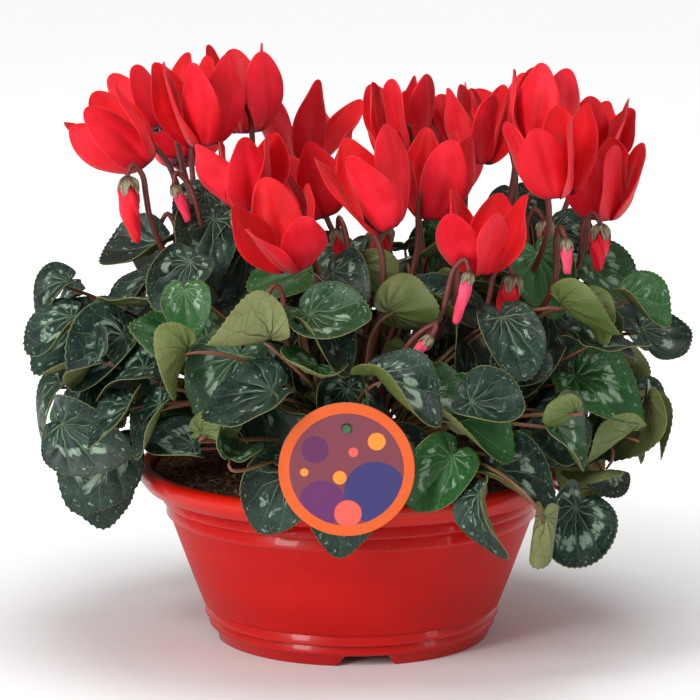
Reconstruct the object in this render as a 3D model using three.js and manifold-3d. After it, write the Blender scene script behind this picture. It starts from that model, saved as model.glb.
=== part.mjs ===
// Potted cyclamen: three plants in a red plastic bowl, in millimetres, +Z up.
// The origin is on the bowl's axis at the surface it stands on, and the front is -Y.
import * as THREE from "three";
import { mergeVertices } from "three/addons/utils/BufferGeometryUtils.js";
import Module from "manifold-3d";

const wasm = await Module();
wasm.setup();

// ---- Driving dimensions ----
const RIM_RADIUS = 135; // a 27 cm bowl
const POT_SIDES = 26;
const NOTCH = { top: 26, bottom: 36, height: 6.6, firstTurn: -84, count: 4 };
const DRAIN = { radius: 5, ring: 45, count: 4 };
const FIT = 0.35; // clearance between touching pieces
const SOIL_TOP = 103;

const CORM = { radius: 22, half: 13, z: 104, sides: 7 };
const STUB = { radius: 5, ring: 13, depth: 8, top: 121, sides: 6, slots: 8, slotRing: 3.2 };
const TRUNK_RADIUS = 4.8;
const SOCKET_FLOOR = CORM.z + CORM.half - STUB.depth - 2; // of the holes in the corm's top
const ROOT_SINK = 1.4; // how deep a stalk's foot lies under the top of its stub
const PLANTS = [
  { name: "left", x: -62, y: 30, stubs: 5, turn: 154 },
  { name: "right", x: 62, y: 30, stubs: 5, turn: 26 },
  { name: "front", x: 0, y: -62, stubs: 6, turn: -90 },
];

const STALK_RADIUS = 1.6;
const STALK_RING = 3; // how far from the trunk's middle a stalk starts
const BLOOM_HOOK = { reach: 10.4, drop: 17, calyx: 4.4 };
const BUD_HOOK = { reach: 8.5, drop: 11 };
const STALK_STEPS = [0, 0.4, 0.75]; // along the stalk's curve, before its hook
const PETIOLE_STEPS = [0, 0.3, 0.65, 1]; // along the leaf stalk's curve
const PETIOLE_RADII = [1.1, 1.35, 1.35, 0.45];
const PETIOLE_SEAT = 4.5; // how far inside the notch the leaf stalk joins the blade
const LEAF_THICKNESS = 0.8;
const LEAF_COUNT = 72;
const LEAF_ANGLES = [0, 35, 72, 108, 142, 169]; // degrees from the tip, on both sides
const LEAF_WIDTH = 0.88; // width against length
const TOOTH = 0.03; // depth of the edge's waves against the leaf's radius
const MOST_SIDE = 208; // foliage outside the hand-placed leaves stays within these
const MOST_DEPTH = 184;
const LOWEST_LEAF = 42;

// The line of sight of the front view, along which crowded blooms slide apart.
const EYE_DISTANCE = 2000;
const EYE_HEIGHT = 545;

const TAG = { radius: 39.8, thickness: 1.2, x: -3, y: -156, z: 138.5, holeZ: 163, hole: 3 };
const PICK = { width: 5, thickness: 2, foot: [-3, -100, 66], head: [-3, -153.6, 166], peg: 2.6 };

// Open blooms: mouth, top, spread of the petals' tips, all in millimetres.
const BLOOMS = [
  ["left", [-126, -24, 302], [-158, -30, 340], 12],
  ["left", [-122, 48, 315], [-134, 60, 352], 8],
  ["left", [-91, -8, 311], [-98, -8, 364], 7],
  ["left", [-66, 38, 314], [-69, 40, 365], 7],
  ["left", [-110, 92, 288], [-114, 116, 322], 9],
  ["left", [-61, -26, 275], [-68, -30, 318], 6],
  ["right", [-30, 80, 289], [-28, 92, 332], 20],
  ["front", [-33, -72, 246], [-44, -88, 286], 18],
  ["left", [-18, 6, 264], [-32, 12, 306], 12],
  ["front", [22, -88, 271], [-2, -92, 323], 11],
  ["front", [48, -42, 270], [49, -40, 323], 9],
  ["right", [34, 60, 298], [32, 66, 344], 8],
  ["right", [65, 88, 293], [61, 96, 336], 7],
  ["right", [78, 20, 297], [80, 18, 342], 7],
  ["right", [108, 66, 300], [98, 72, 342], 7],
  ["right", [113, 14, 308], [120, 16, 356], 7],
  ["right", [126, -38, 284], [119, -44, 331], 9],
  ["right", [151, 42, 292], [158, 48, 333], 8],
  ["right", [157, -6, 265], [156, -8, 312], 8],
  ["front", [74, -88, 245], [76, -94, 288], 16],
  ["right", [62, 128, 262], [60, 140, 304], 8],
];
// Closed pink buds and half-open red ones: top under the calyx, tip, greatest radius.
const BUDS = [
  ["left", [-137, -38, 292], [-131, -38, 254], 6.5, "red"],
  ["right", [120, -12, 262], [122, -14, 232], 6, "red"],
  ["front", [20, -35, 262], [14, -37, 231], 6.5, "red"],
  ["front", [-8, -52, 262], [-4, -56, 240], 5.5, "red"],
  ["right", [153, -32, 262], [151, -36, 236], 6, "red"],
  ["front", [96, -92, 240], [90, -94, 208], 6.5, "red"],
  ["front", [-51, -95, 228], [-52, -96, 204], 3.6, "pink"],
  ["left", [-109, -14, 284], [-101, -16, 264], 3.6, "pink"],
  ["left", [-118, -30, 262], [-118, -31, 249], 3, "pink"],
  ["left", [-48, -42, 300], [-51, -44, 276], 3.6, "pink"],
  ["front", [69, -112, 245], [61, -114, 217], 3.8, "pink"],
  ["front", [45, -128, 210], [33, -130, 198], 3.4, "pink"],
  ["right", [131, -45, 255], [132, -46, 236], 3.6, "pink"],
];
// Leaves that show most: junction with the leaf stalk, tip, and the way the upper face looks.
const HAND_LEAVES = [
  [[-149, -62, 136], [-180, -72, 96], [-0.3, -1, 0.4]],
  [[-157, -38, 118], [-156, -46, 76], [-0.2, -1, 0.15]],
  [[-138, -60, 201], [-173, -82, 174], [-0.3, -0.6, 1]],
  [[-67, -116, 199], [-88, -140, 160], [-0.1, -0.9, 0.8]],
  [[-94, -112, 144], [-122, -118, 150], [-0.3, -0.9, 0.6]],
  [[-38, -141, 133], [-62, -150, 98], [-0.2, -1, 0.35]],
  [[90, -100, 220], [103, -126, 188], [0.2, -0.8, 0.8]],
  [[56, -128, 168], [96, -146, 153], [0.1, -0.7, 0.9]],
  [[86, -126, 132], [122, -140, 117], [0.3, -0.8, 0.8]],
  [[136, -88, 102], [112, -106, 64], [0.2, -1, 0.15]],
  [[74, -164, 126], [72, -182, 92], [-0.9, -0.5, 0.2]],
  [[112, -162, 112], [108, -170, 74], [0.3, 0.9, 0.1]],
  [[-100, -92, 234], [-98, -112, 212], [-0.2, -0.7, 0.9]],
  [[183, -4, 152], [214, -2, 128], [0.6, -0.2, 0.9]],
  [[-184, 2, 160], [-214, 0, 136], [-0.5, -0.3, 0.9]],
  [[-176, 22, 212], [-203, 24, 196], [-0.3, -0.4, 1]],
  [[160, 10, 204], [189, 4, 188], [0.3, -0.5, 1]],
  [[136, -72, 178], [178, -92, 162], [0.4, -0.7, 0.9]],
  [[22, 152, 138], [16, 188, 120], [0, 0.6, 0.8]],
];
// The mound that the other leaves cover: radius and height of its outline, from the rim up.
const MOUND = [
  [148, 110],
  [180, 124],
  [190, 150],
  [182, 183],
  [156, 212],
  [110, 232],
  [55, 243],
  [0, 246],
];
const MOUND_DEPTH = 0.9; // how deep the mound is against its width
// The gap at the front left, where the soil shows between the rim and the leaves above it.
const GAP = { left: -132, right: -66, front: -40, low: 99, high: 136 };
const LAYER_STEP = 26; // how far the leaves of the inner layer lie under the outer one
const INNER_SHARE = 0.36; // of the leaves, in the inner layer
const LEAF_CENTRE = 0.38; // of the leaf's length, from the junction to its middle
const LEAF_SEED = 20261;
const FLOWER_SEED = 777;
// Steps in depth that a leaf, and a flower, may move by to come clear of the others.
const LEAF_SLIDES = [0, 4, -4, 8, -8, 12, -12, 16, -16, 22, -22, 28, -28];
const FLOWER_SLIDES = [0, 7, -7, 14, -14, 21, -21, 28, -28, 36, -36, 44, -44, 54, -54];

// ---- Colours ----
const RED = [0xd8201c, 0.35, 0];
const SOIL_BROWN = [0x2a1a12, 0.95, 0];
const CORM_BROWN = [0x4a3426, 0.9, 0];
const STALK_BROWN = [0x6e3a30, 0.55, 0];
const PETAL_RED = [0xe01824, 0.6, 0];
const BUD_PINK = [0xf03c5e, 0.6, 0];
const LEAF_GREEN = [0x274a3c, 0.55, 0];
const CARD = [0xe8722a, 0.5, 0];
const PICK_GREEN = [0x2c5a34, 0.5, 0];

// ---- Small helpers ----
const vec = (x, y, z) => new THREE.Vector3(x, y, z);
const at = (p) => new THREE.Vector3(p[0], p[1], p[2]);
const rad = THREE.MathUtils.degToRad;
const UP = vec(0, 0, 1);

// Numbers from 0 to 1 by a fixed rule, so that every run draws the same plant.
function drawer(seed) {
  let s = seed;
  return (low, high) => {
    s = (s * 16807) % 2147483647;
    return low + ((high - low) * s) / 2147483647;
  };
}

// a + b * k for each pair after the start.
function along(start, ...pairs) {
  const p = start.clone();
  for (let i = 0; i < pairs.length; i += 2) p.addScaledVector(pairs[i], pairs[i + 1]);
  return p;
}

// The part of v square to the axis, as a unit vector.
function squareTo(v, axis) {
  return along(v, axis, -v.dot(axis)).normalize();
}

function bezier(a, b, c, d, t) {
  const s = 1 - t;
  return along(vec(0, 0, 0), a, s * s * s, b, 3 * s * s * t, c, 3 * s * t * t, d, t * t * t);
}

// ---- Solids ----
function solidOf(points, faces) {
  const vertProperties = new Float32Array(points.flatMap((p) => [p.x, p.y, p.z]));
  const triVerts = new Uint32Array(faces.flat());
  return new wasm.Manifold(new wasm.Mesh({ numProp: 3, vertProperties, triVerts }));
}

function solidOfGeometry(geometry) {
  const bare = new THREE.BufferGeometry();
  const source = geometry.index ? geometry.toNonIndexed() : geometry;
  bare.setAttribute("position", source.getAttribute("position"));
  const merged = mergeVertices(bare, 1e-4);
  const vertProperties = merged.attributes.position.array;
  const triVerts = new Uint32Array(merged.index.array);
  return new wasm.Manifold(new wasm.Mesh({ numProp: 3, vertProperties, triVerts }));
}

function meshOf(name, solid, [color, roughness, metalness]) {
  const made = solid.getMesh();
  const geometry = new THREE.BufferGeometry();
  geometry.setAttribute("position", new THREE.BufferAttribute(new Float32Array(made.vertProperties), 3));
  geometry.setIndex(new THREE.BufferAttribute(new Uint32Array(made.triVerts), 1));
  const mesh = new THREE.Mesh(geometry, new THREE.MeshStandardMaterial({ color, roughness, metalness }));
  mesh.name = name;
  return mesh;
}

// A closed profile of [radius, height] pairs turned about +Z.
function lathe(profile, sides) {
  const geometry = new THREE.LatheGeometry(profile.map(([r, z]) => new THREE.Vector2(r, z)), sides);
  geometry.rotateX(Math.PI / 2);
  const solid = solidOfGeometry(geometry);
  return solid.volume() < 0 ? solidOfGeometry(flipped(geometry)) : solid;
}

function flipped(geometry) {
  const index = geometry.index.array;
  for (let i = 0; i < index.length; i += 3) [index[i + 1], index[i + 2]] = [index[i + 2], index[i + 1]];
  return geometry;
}

function upright(radius, low, high, x, y, sides = 10) {
  const geometry = new THREE.CylinderGeometry(radius, radius, high - low, sides);
  geometry.rotateX(Math.PI / 2).translate(x, y, (low + high) / 2);
  return solidOfGeometry(geometry);
}

// A round rod with few sides through the points, its section carried along without twist.
function rod(points, radii, sides) {
  const rings = [];
  let side = squareTo(Math.abs(points[1].z - points[0].z) > 1 ? vec(1, 0.2, 0) : UP, tangentAt(points, 0));
  points.forEach((p, i) => {
    const forward = tangentAt(points, i);
    side = squareTo(side, forward);
    const third = forward.clone().cross(side);
    for (let k = 0; k < sides; k++) {
      const a = (k / sides) * 2 * Math.PI;
      rings.push(along(p, side, radii[i] * Math.cos(a), third, radii[i] * Math.sin(a)));
    }
  });
  const faces = [];
  for (let i = 0; i + 1 < points.length; i++) {
    for (let k = 0; k < sides; k++) {
      const a = i * sides + k;
      const b = i * sides + ((k + 1) % sides);
      faces.push([a, b, b + sides], [a, b + sides, a + sides]);
    }
  }
  const last = (points.length - 1) * sides;
  for (let k = 1; k + 1 < sides; k++) faces.push([0, k + 1, k], [last, last + k, last + k + 1]);
  return solidOf(rings, faces);
}

function tangentAt(points, i) {
  const before = points[Math.max(0, i - 1)];
  const after = points[Math.min(points.length - 1, i + 1)];
  return after.clone().sub(before).normalize();
}

// Two faces alike, each point pushed half a thickness along its normal, and a wall round the edge.
function sheet(points, normals, faces, edge, thickness) {
  const half = thickness / 2;
  const front = points.map((p, i) => along(p, normals[i], half));
  const back = points.map((p, i) => along(p, normals[i], -half));
  const n = points.length;
  const all = faces.flatMap(([a, b, c]) => [
    [a, b, c],
    [a + n, c + n, b + n],
  ]);
  edge.forEach((a, i) => {
    const b = edge[(i + 1) % edge.length];
    all.push([a, a + n, b + n], [a, b + n, b]);
  });
  return solidOf([...front, ...back], all);
}

const join = (solids) => wasm.Manifold.union(solids);

// ---- Clearance: every leaf, petal and stalk is a cloud of small balls that keep apart ----
const BLADE_BALL = 2.6;
const BLADE_STEP = 6;
const STEM_BALL = 1.9;
const STEM_STEP = 4;
const PETAL_BALL = 2.3;
const SHARED_BALLS = 7; // stems from one trunk may touch over their first balls
const placed = [];

function boxOf(balls) {
  const low = [1e9, 1e9, 1e9];
  const high = [-1e9, -1e9, -1e9];
  for (const b of balls) {
    for (let k = 0; k < 3; k++) {
      low[k] = Math.min(low[k], b[k] - b[3]);
      high[k] = Math.max(high[k], b[k] + b[3]);
    }
  }
  return { low, high };
}

const apart = (a, b) => [0, 1, 2].some((k) => a.low[k] > b.high[k] || a.high[k] < b.low[k]);

function touch(ballsA, ballsB) {
  if (!ballsA.length || !ballsB.length) return false;
  const boxA = boxOf(ballsA);
  const boxB = boxOf(ballsB);
  if (apart(boxA, boxB)) return false;
  for (const a of ballsA) {
    for (const b of ballsB) {
      const reach = a[3] + b[3];
      const x = a[0] - b[0];
      const y = a[1] - b[1];
      const z = a[2] - b[2];
      if (x * x + y * y + z * z < reach * reach) return true;
    }
  }
  return false;
}

// The bowl's rim and wall, and the soil, are kept clear of by a rule on radius and height.
function touchesPot(balls) {
  return balls.some(([x, y, z]) => {
    const r = Math.hypot(x, y);
    return z < 115.5 && ((r > 119 && r < RIM_RADIUS + 4) || (r <= 119 && z < 107.5));
  });
}

function isClear(thing) {
  if (touchesPot(thing.blades) || touchesPot(thing.stems.slice(2))) return false;
  return placed.every(
    (other) =>
      !touch(thing.blades, other.blades) &&
      !touch(thing.blades, other.stems) &&
      !touch(thing.stems, other.blades) &&
      !touch(thing.stems.slice(thing.trunk === other.trunk ? SHARED_BALLS : 0), other.stems),
  );
}

const ball = (p, r) => [p.x, p.y, p.z, r];

// Balls along a chain of points, no further apart than the step.
function stemBalls(path, radius) {
  const balls = [ball(path[0], radius)];
  for (let i = 0; i + 1 < path.length; i++) {
    const count = Math.ceil(path[i].distanceTo(path[i + 1]) / STEM_STEP);
    for (let k = 1; k <= count; k++) balls.push(ball(path[i].clone().lerp(path[i + 1], k / count), radius));
  }
  return balls;
}

// ---- Leaves ----
// Radius of the outline from the junction, for a leaf of length 1: heart-shaped, tip at angle 0.
function outline(angle) {
  const notch = Math.sqrt(Math.min(1, Math.max(0.012, (Math.PI - Math.abs(angle)) / 0.5)));
  return (0.57 + 0.31 * Math.cos(angle) + 0.12 * Math.exp(-((angle / 0.3) ** 2))) * notch;
}

// How far the edge lifts from the junction's plane, against the distance from it.
function lift(leaf, angle) {
  const fold = leaf.fold * Math.cos(2 * angle);
  const wave = leaf.wave * Math.cos(3 * angle + leaf.phase);
  return leaf.droop - fold + wave;
}

function leafPoint(leaf, share, angle) {
  const r = share * leaf.length * outline(angle);
  const x = r * Math.cos(angle);
  const y = r * Math.sin(angle) * LEAF_WIDTH;
  return along(leaf.junction, leaf.tip, x, leaf.side, y, leaf.face, r * lift(leaf, angle));
}

function makeLeaf(junction, end, look, draw) {
  const tip = end.clone().sub(junction);
  const length = tip.length();
  tip.normalize();
  const face = squareTo(look, tip);
  const leaf = { junction, tip, face, side: face.clone().cross(tip), length };
  leaf.droop = draw(-0.24, 0.08);
  leaf.fold = draw(-0.04, 0.26);
  leaf.wave = draw(0.02, 0.1);
  leaf.phase = draw(0, 6.28);
  return leaf;
}

// The plant whose third of the bowl the leaf is in, and the crown stub that looks towards it.
function chooseStub(leaf) {
  const turn = THREE.MathUtils.radToDeg(Math.atan2(leaf.junction.y, leaf.junction.x));
  const off = (a, b) => Math.abs(((((a - b) % 360) + 540) % 360) - 180);
  const best = PLANTS.reduce((a, b) => (off(turn, b.turn) < off(turn, a.turn) ? b : a));
  const own = THREE.MathUtils.radToDeg(Math.atan2(leaf.junction.y - best.y, leaf.junction.x - best.x));
  const turns = Array.from({ length: best.stubs }, (_, k) => best.turn + (360 / best.stubs) * k);
  const k = turns.reduce((a, t, i) => (off(own, t) < off(own, turns[a]) ? i : a), 0);
  return { plant: best, turn: rad(turns[k]), trunk: "leaves_" + best.name + "_" + (k + 1) };
}

// Leaf stalks leave their stub from slots round its top, each from the free one nearest its leaf.
const slotsTaken = {};

function freeSlot(trunk, turn) {
  const taken = slotsTaken[trunk] ?? [];
  const wanted = ((turn / (2 * Math.PI)) * STUB.slots + STUB.slots) % STUB.slots;
  const away = (slot) => Math.abs(((slot - wanted + STUB.slots * 1.5) % STUB.slots) - STUB.slots / 2);
  const uses = (slot) => taken.filter((s) => s === slot).length;
  const slots = Array.from({ length: STUB.slots }, (_, slot) => slot);
  return slots.reduce((a, b) => (away(b) + 100 * uses(b) < away(a) + 100 * uses(a) ? b : a));
}

// The middle of the crown stub that stands at a turn round a plant's trunk.
function stubPlace(plant, turn) {
  return { x: plant.x + STUB.ring * Math.cos(turn), y: plant.y + STUB.ring * Math.sin(turn) };
}

function addPetiole(leaf) {
  const { plant, turn, trunk } = chooseStub(leaf);
  const { x, y } = stubPlace(plant, turn);
  const middle = vec(x, y, STUB.top - ROOT_SINK);
  const out = leaf.junction.clone().sub(middle);
  const span = out.length();
  const flat = vec(out.x, out.y, 0).normalize();
  const slot = freeSlot(trunk, Math.atan2(out.y, out.x));
  const slotTurn = (slot / STUB.slots) * 2 * Math.PI;
  const foot = along(middle, vec(Math.cos(slotTurn), Math.sin(slotTurn), 0), STUB.slotRing);
  const rise = THREE.MathUtils.clamp(out.z / span, 0, 1);
  const fan = vec(Math.cos(slotTurn), Math.sin(slotTurn), 0);
  const first = along(foot, flat, span * (0.26 - 0.2 * rise), fan, 5, UP, span * (0.2 + 0.18 * rise) + 8);
  const end = along(leaf.junction, leaf.tip, PETIOLE_SEAT, leaf.face, PETIOLE_SEAT * lift(leaf, 0));
  const second = along(end, leaf.tip, -0.2 * span, leaf.face, -0.2 * span);
  leaf.trunk = trunk;
  leaf.slot = slot;
  leaf.stubTurn = turn;
  leaf.plant = plant;
  leaf.path = PETIOLE_STEPS.map((t) => bezier(foot, first, second, end, t));
}

function leafThing(leaf) {
  const blades = [];
  const reach = Math.ceil((leaf.length * 1.05) / BLADE_STEP);
  for (let i = -reach; i <= reach; i++) {
    for (let j = -reach; j <= reach; j++) {
      const x = i * BLADE_STEP;
      const y = (j * BLADE_STEP) / LEAF_WIDTH;
      const angle = Math.atan2(y, x);
      const share = Math.hypot(x, y) / (leaf.length * outline(angle));
      if (share < 0.93) blades.push(ball(leafPoint(leaf, share, angle), BLADE_BALL));
    }
  }
  for (let k = 0; k < 24; k++) {
    blades.push(ball(leafPoint(leaf, 0.97, ((k + 0.5) / 24) * 2 * Math.PI - Math.PI), BLADE_BALL));
  }
  const stems = stemBalls(leaf.path, STEM_BALL);
  return { trunk: leaf.trunk, blades, stems: stems.slice(0, -2) };
}

const inGap = ([x, y, z]) =>
  x > GAP.left && x < GAP.right && y < GAP.front && z > GAP.low && z < GAP.high;

const inBounds = ([x, y, z]) =>
  Math.abs(x) < MOST_SIDE && Math.abs(y) < MOST_DEPTH && z > LOWEST_LEAF;

// Whether a point stands between the front view's eye and the tag.
function hidesTag([x, y, z]) {
  if (y > TAG.y) return false;
  const k = (EYE_DISTANCE + TAG.y) / (EYE_DISTANCE + y);
  return Math.hypot(x * k - TAG.x, EYE_HEIGHT + (z - EYE_HEIGHT) * k - TAG.z) < TAG.radius + 2;
}

// A point of the mound: share of the way up its outline, and a turn about the axis.
function moundPoint(share, turn, inward) {
  const k = Math.min(MOUND.length - 2, Math.floor(share * (MOUND.length - 1)));
  const part = share * (MOUND.length - 1) - k;
  const [r0, z0] = MOUND[k];
  const [r1, z1] = MOUND[k + 1];
  const slope = Math.hypot(r1 - r0, z1 - z0);
  const outward = (z1 - z0) / slope;
  const upward = (r0 - r1) / slope;
  const r = r0 + (r1 - r0) * part - inward * outward;
  const z = z0 + (z1 - z0) * part - inward * upward;
  const c = Math.cos(turn);
  const s = Math.sin(turn) * MOUND_DEPTH;
  const normal = vec(outward * c, outward * s, upward);
  const down = vec(upward * c, upward * s, -outward).normalize();
  return { centre: vec(r * c, r * s, z), normal, down, weight: r };
}

function drawLeaf(draw) {
  const layer = draw(0, 1) < INNER_SHARE ? 1 : 0;
  const spot = moundPoint(draw(0, 1), draw(0, 2 * Math.PI), layer * LAYER_STEP);
  if (draw(0, 175) > spot.weight) return null;
  const length = draw(39, 52) - 5 * layer;
  const turn = draw(-1.3, 1.3);
  const sway = vec(draw(-0.55, 0.55), draw(-0.55, 0.55), draw(-0.3, 0.3));
  const look = along(spot.normal, UP, 0.35, sway, 1).normalize();
  const down = squareTo(spot.down, look);
  const across = look.clone().cross(down);
  const tip = along(vec(0, 0, 0), down, Math.cos(turn), across, Math.sin(turn));
  const junction = along(spot.centre, tip, -LEAF_CENTRE * length);
  return { leaf: makeLeaf(junction, along(junction, tip, length), look, draw), centre: spot.centre };
}

// The clear candidate that lies furthest from the leaves that are there.
function placeLeaves() {
  const draw = drawer(LEAF_SEED);
  const leaves = [];
  const centres = [];
  const keep = (leaf, centre) => {
    leaves.push(leaf);
    slotsTaken[leaf.trunk] = [...(slotsTaken[leaf.trunk] ?? []), leaf.slot];
    centres.push(centre);
    placed.push(leafThing(leaf));
  };
  for (const [junction, tip, look] of HAND_LEAVES) {
    const start = makeLeaf(at(junction), at(tip), at(look).normalize(), draw);
    for (const step of LEAF_SLIDES) {
      const leaf = { ...start, junction: along(start.junction, vec(0, 1, 0), step) };
      addPetiole(leaf);
      const thing = leafThing(leaf);
      if (thing.blades.some(hidesTag) || !isClear(thing)) continue;
      keep(leaf, along(leaf.junction, leaf.tip, LEAF_CENTRE * leaf.length));
      break;
    }
  }
  for (let tries = 0; leaves.length < LEAF_COUNT && tries < 400; tries++) {
    const hopefuls = [];
    while (hopefuls.length < 16) {
      const found = drawLeaf(draw);
      if (!found) continue;
      found.room = Math.min(...centres.map((c) => c.distanceTo(found.centre)));
      hopefuls.push(found);
    }
    hopefuls.sort((a, b) => b.room - a.room);
    for (const { leaf, centre } of hopefuls) {
      addPetiole(leaf);
      const thing = leafThing(leaf);
      if (!thing.blades.every(inBounds) || thing.blades.some(inGap)) continue;
      if (thing.blades.some(hidesTag) || !isClear(thing)) continue;
      keep(leaf, centre);
      break;
    }
  }
  return leaves;
}

function leafSolid(leaf) {
  const back = LEAF_ANGLES.slice(1).reverse();
  const turns = [...LEAF_ANGLES, ...back.map((a) => -a)].map(rad);
  const rim = turns.map((a, i) => leafPoint(leaf, 1 + (i % 2 ? -TOOTH : TOOTH), a));
  const points = [leaf.junction, ...rim];
  const normals = points.map(() => leaf.face);
  const faces = rim.map((_, i) => [0, i + 1, ((i + 1) % rim.length) + 1]);
  const edge = rim.map((_, i) => i + 1);
  return [sheet(points, normals, faces, edge, LEAF_THICKNESS), rod(leaf.path, PETIOLE_RADII, 3)];
}

function leafSprays(leaves) {
  const trunks = [...new Set(leaves.map((leaf) => leaf.trunk))].sort();
  return trunks.map((trunk) => {
    const own = leaves.filter((leaf) => leaf.trunk === trunk);
    const { x, y } = stubPlace(own[0].plant, own[0].stubTurn);
    const stub = upright(STUB.radius, SOCKET_FLOOR, STUB.top, x, y, STUB.sides);
    return meshOf(trunk, join([stub, ...own.flatMap(leafSolid)]), LEAF_GREEN);
  });
}

// ---- Stalks, blooms and buds ----
// The hook at a stalk's end: up beside the flower, over, and down onto its seat.
function hook(seat, down, side, reach, drop) {
  return [
    along(seat, side, reach, down, drop),
    along(seat, side, reach, down, -1.5),
    along(seat, side, reach * 0.5, down, -9.5),
    along(seat, down, -2.4),
  ];
}

function stalkOf(plantName, seat, down, reach, drop, draw) {
  const plant = PLANTS.find((p) => p.name === plantName);
  const turn = Math.atan2(seat.y - plant.y, seat.x - plant.x) + draw(-0.3, 0.3);
  const x = plant.x + STALK_RING * Math.cos(turn);
  const y = plant.y + STALK_RING * Math.sin(turn);
  const foot = vec(x, y, STUB.top - ROOT_SINK);
  const side = squareTo(vec(foot.x - seat.x, foot.y - seat.y, 0).addScaledVector(vec(0.3, -1, 0), 20), down);
  const bend = hook(seat, down, side, reach, drop);
  const span = bend[0].distanceTo(foot);
  const first = along(foot, UP, span * 0.42, vec(seat.x - foot.x, seat.y - foot.y, 0), 0.12);
  const arrive = along(down.clone().negate(), UP, 0.8).normalize();
  const second = along(bend[0], arrive, -0.28 * span);
  const path = STALK_STEPS.map((t) => bezier(foot, first, second, bend[0], t)).concat(bend);
  return { side, down, path, trunk: "stalks_" + plantName };
}

function stalkSolids(stalk) {
  const path = stalk.path;
  const radii = path.map(() => STALK_RADIUS);
  radii[0] = 1.2;
  radii[path.length - 1] = 0.6;
  const end = path[path.length - 1];
  const cap = [along(end, stalk.down, -1.4), along(end, stalk.down, 2.4 - FIT)];
  return [rod(path, radii, 3), rod(cap, [2.2, stalk.calyx], 5)];
}

const PETAL_TURNS = [54, 117, 180, 243, 306]; // from the side where the stalk passes
const PETAL_ROWS = [
  [0, [-1, 1]],
  [0.38, [-1, 1]],
  [0.8, [-1, 0, 1]],
  [1, [0]],
];
const TUBE = { length: 8, radius: 6, foot: -1.6, topRadius: 4.4, turns: [0, 86, 148, 212, 274] };

function makeBloom(plantName, mouth, top, spread, draw) {
  const axis = top.clone().sub(mouth);
  const height = axis.length() * 1.04;
  axis.normalize();
  const down = axis.clone().negate();
  const seat = along(mouth, axis, TUBE.length);
  const stalk = stalkOf(plantName, seat, down, BLOOM_HOOK.reach, BLOOM_HOOK.drop, draw);
  stalk.calyx = BLOOM_HOOK.calyx;
  const hand = draw(0, 1) < 0.5 ? -1 : 1;
  const petals = PETAL_TURNS.map((turn) => ({
    turn: rad(turn + draw(-5, 5)),
    height: height * draw(0.9, 1.04),
    spread: spread * draw(0.7, 1.3),
    width: draw(11, 12.8),
    twist: hand * draw(0.48, 0.62),
  }));
  return { mouth, axis, side: stalk.side, third: axis.clone().cross(stalk.side), stalk, petals };
}

// A petal's point: u from the mouth to the tip, v across it from -1 to 1.
function petalPoint(bloom, petal, u, v) {
  const s = 1 - u;
  const [r0, r1, r2, r3] = [4.2, 14, 17 + 0.4 * petal.spread, 12 + petal.spread];
  const r = s * s * s * r0 + 3 * s * s * u * r1 + 3 * s * u * u * r2 + u * u * u * r3;
  const z = -3 * s * s * u * 5 + 3 * s * u * u * 0.55 * petal.height + u * u * u * petal.height;
  const out = along(vec(0, 0, 0), bloom.side, Math.cos(petal.turn), bloom.third, Math.sin(petal.turn));
  const across = bloom.axis.clone().cross(out);
  const twist = petal.twist * Math.min(1, 0.2 + 1.4 * u);
  const wide = along(vec(0, 0, 0), across, Math.cos(twist), out, Math.sin(twist));
  const w = petal.width * petalWidth(u) * v;
  return {
    point: along(bloom.mouth, out, r - 3 * u * v * v, bloom.axis, z, wide, w),
    normal: along(vec(0, 0, 0), out, Math.cos(twist), across, -Math.sin(twist)),
  };
}

function petalWidth(u) {
  const end = Math.max(0, (u - 0.6) / 0.4);
  return Math.min(1, 0.1 + 1.65 * u) * Math.sqrt(Math.max(0, 1 - end ** 2.4));
}

function bloomThing(bloom) {
  const blades = [];
  for (const petal of bloom.petals) {
    for (const u of [0.12, 0.24, 0.36, 0.48, 0.6, 0.72, 0.84, 0.96]) {
      for (const v of [-0.9, -0.45, 0, 0.45, 0.9]) {
        blades.push(ball(petalPoint(bloom, petal, u, v).point, PETAL_BALL));
      }
    }
  }
  return { trunk: bloom.stalk.trunk, blades, stems: stemBalls(bloom.stalk.path, STEM_BALL) };
}

function petalSolid(bloom, petal) {
  const points = [];
  const normals = [];
  for (const [u, vs] of PETAL_ROWS) {
    for (const v of vs) {
      const { point, normal } = petalPoint(bloom, petal, u, v);
      points.push(point);
      normals.push(normal);
    }
  }
  const faces = [
    [0, 1, 3],
    [0, 3, 2],
    [2, 5, 4],
    [2, 3, 5],
    [3, 6, 5],
    [4, 5, 7],
    [5, 6, 7],
  ];
  return sheet(points, normals, faces, [0, 1, 3, 6, 7, 4, 2], LEAF_THICKNESS);
}

// The short five-sided tube that the petals sweep back from, a side for each petal.
function tubeSolid(bloom) {
  const rows = [
    [TUBE.length, TUBE.topRadius],
    [TUBE.foot, TUBE.radius],
  ];
  const points = rows.flatMap(([z, r]) =>
    TUBE.turns.map((turn) => {
      const a = rad(turn);
      return along(bloom.mouth, bloom.axis, z, bloom.side, r * Math.cos(a), bloom.third, r * Math.sin(a));
    }),
  );
  const n = TUBE.turns.length;
  const faces = [];
  for (let k = 0; k < n; k++) {
    const next = (k + 1) % n;
    faces.push([n + k, n + next, next], [n + k, next, k]);
    if (k && k + 1 < n) faces.push([0, k, k + 1], [n, n + k + 1, n + k]);
  }
  return solidOf(points, faces);
}

function makeBud(plantName, top, tip, radius, draw) {
  const down = tip.clone().sub(top);
  const length = down.length();
  down.normalize();
  const stalk = stalkOf(plantName, top, down, BUD_HOOK.reach + radius * 0.5, BUD_HOOK.drop, draw);
  stalk.calyx = Math.max(2.6, radius * 0.72);
  return { top, down, length, radius, stalk, side: stalk.side, third: down.clone().cross(stalk.side) };
}

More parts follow.
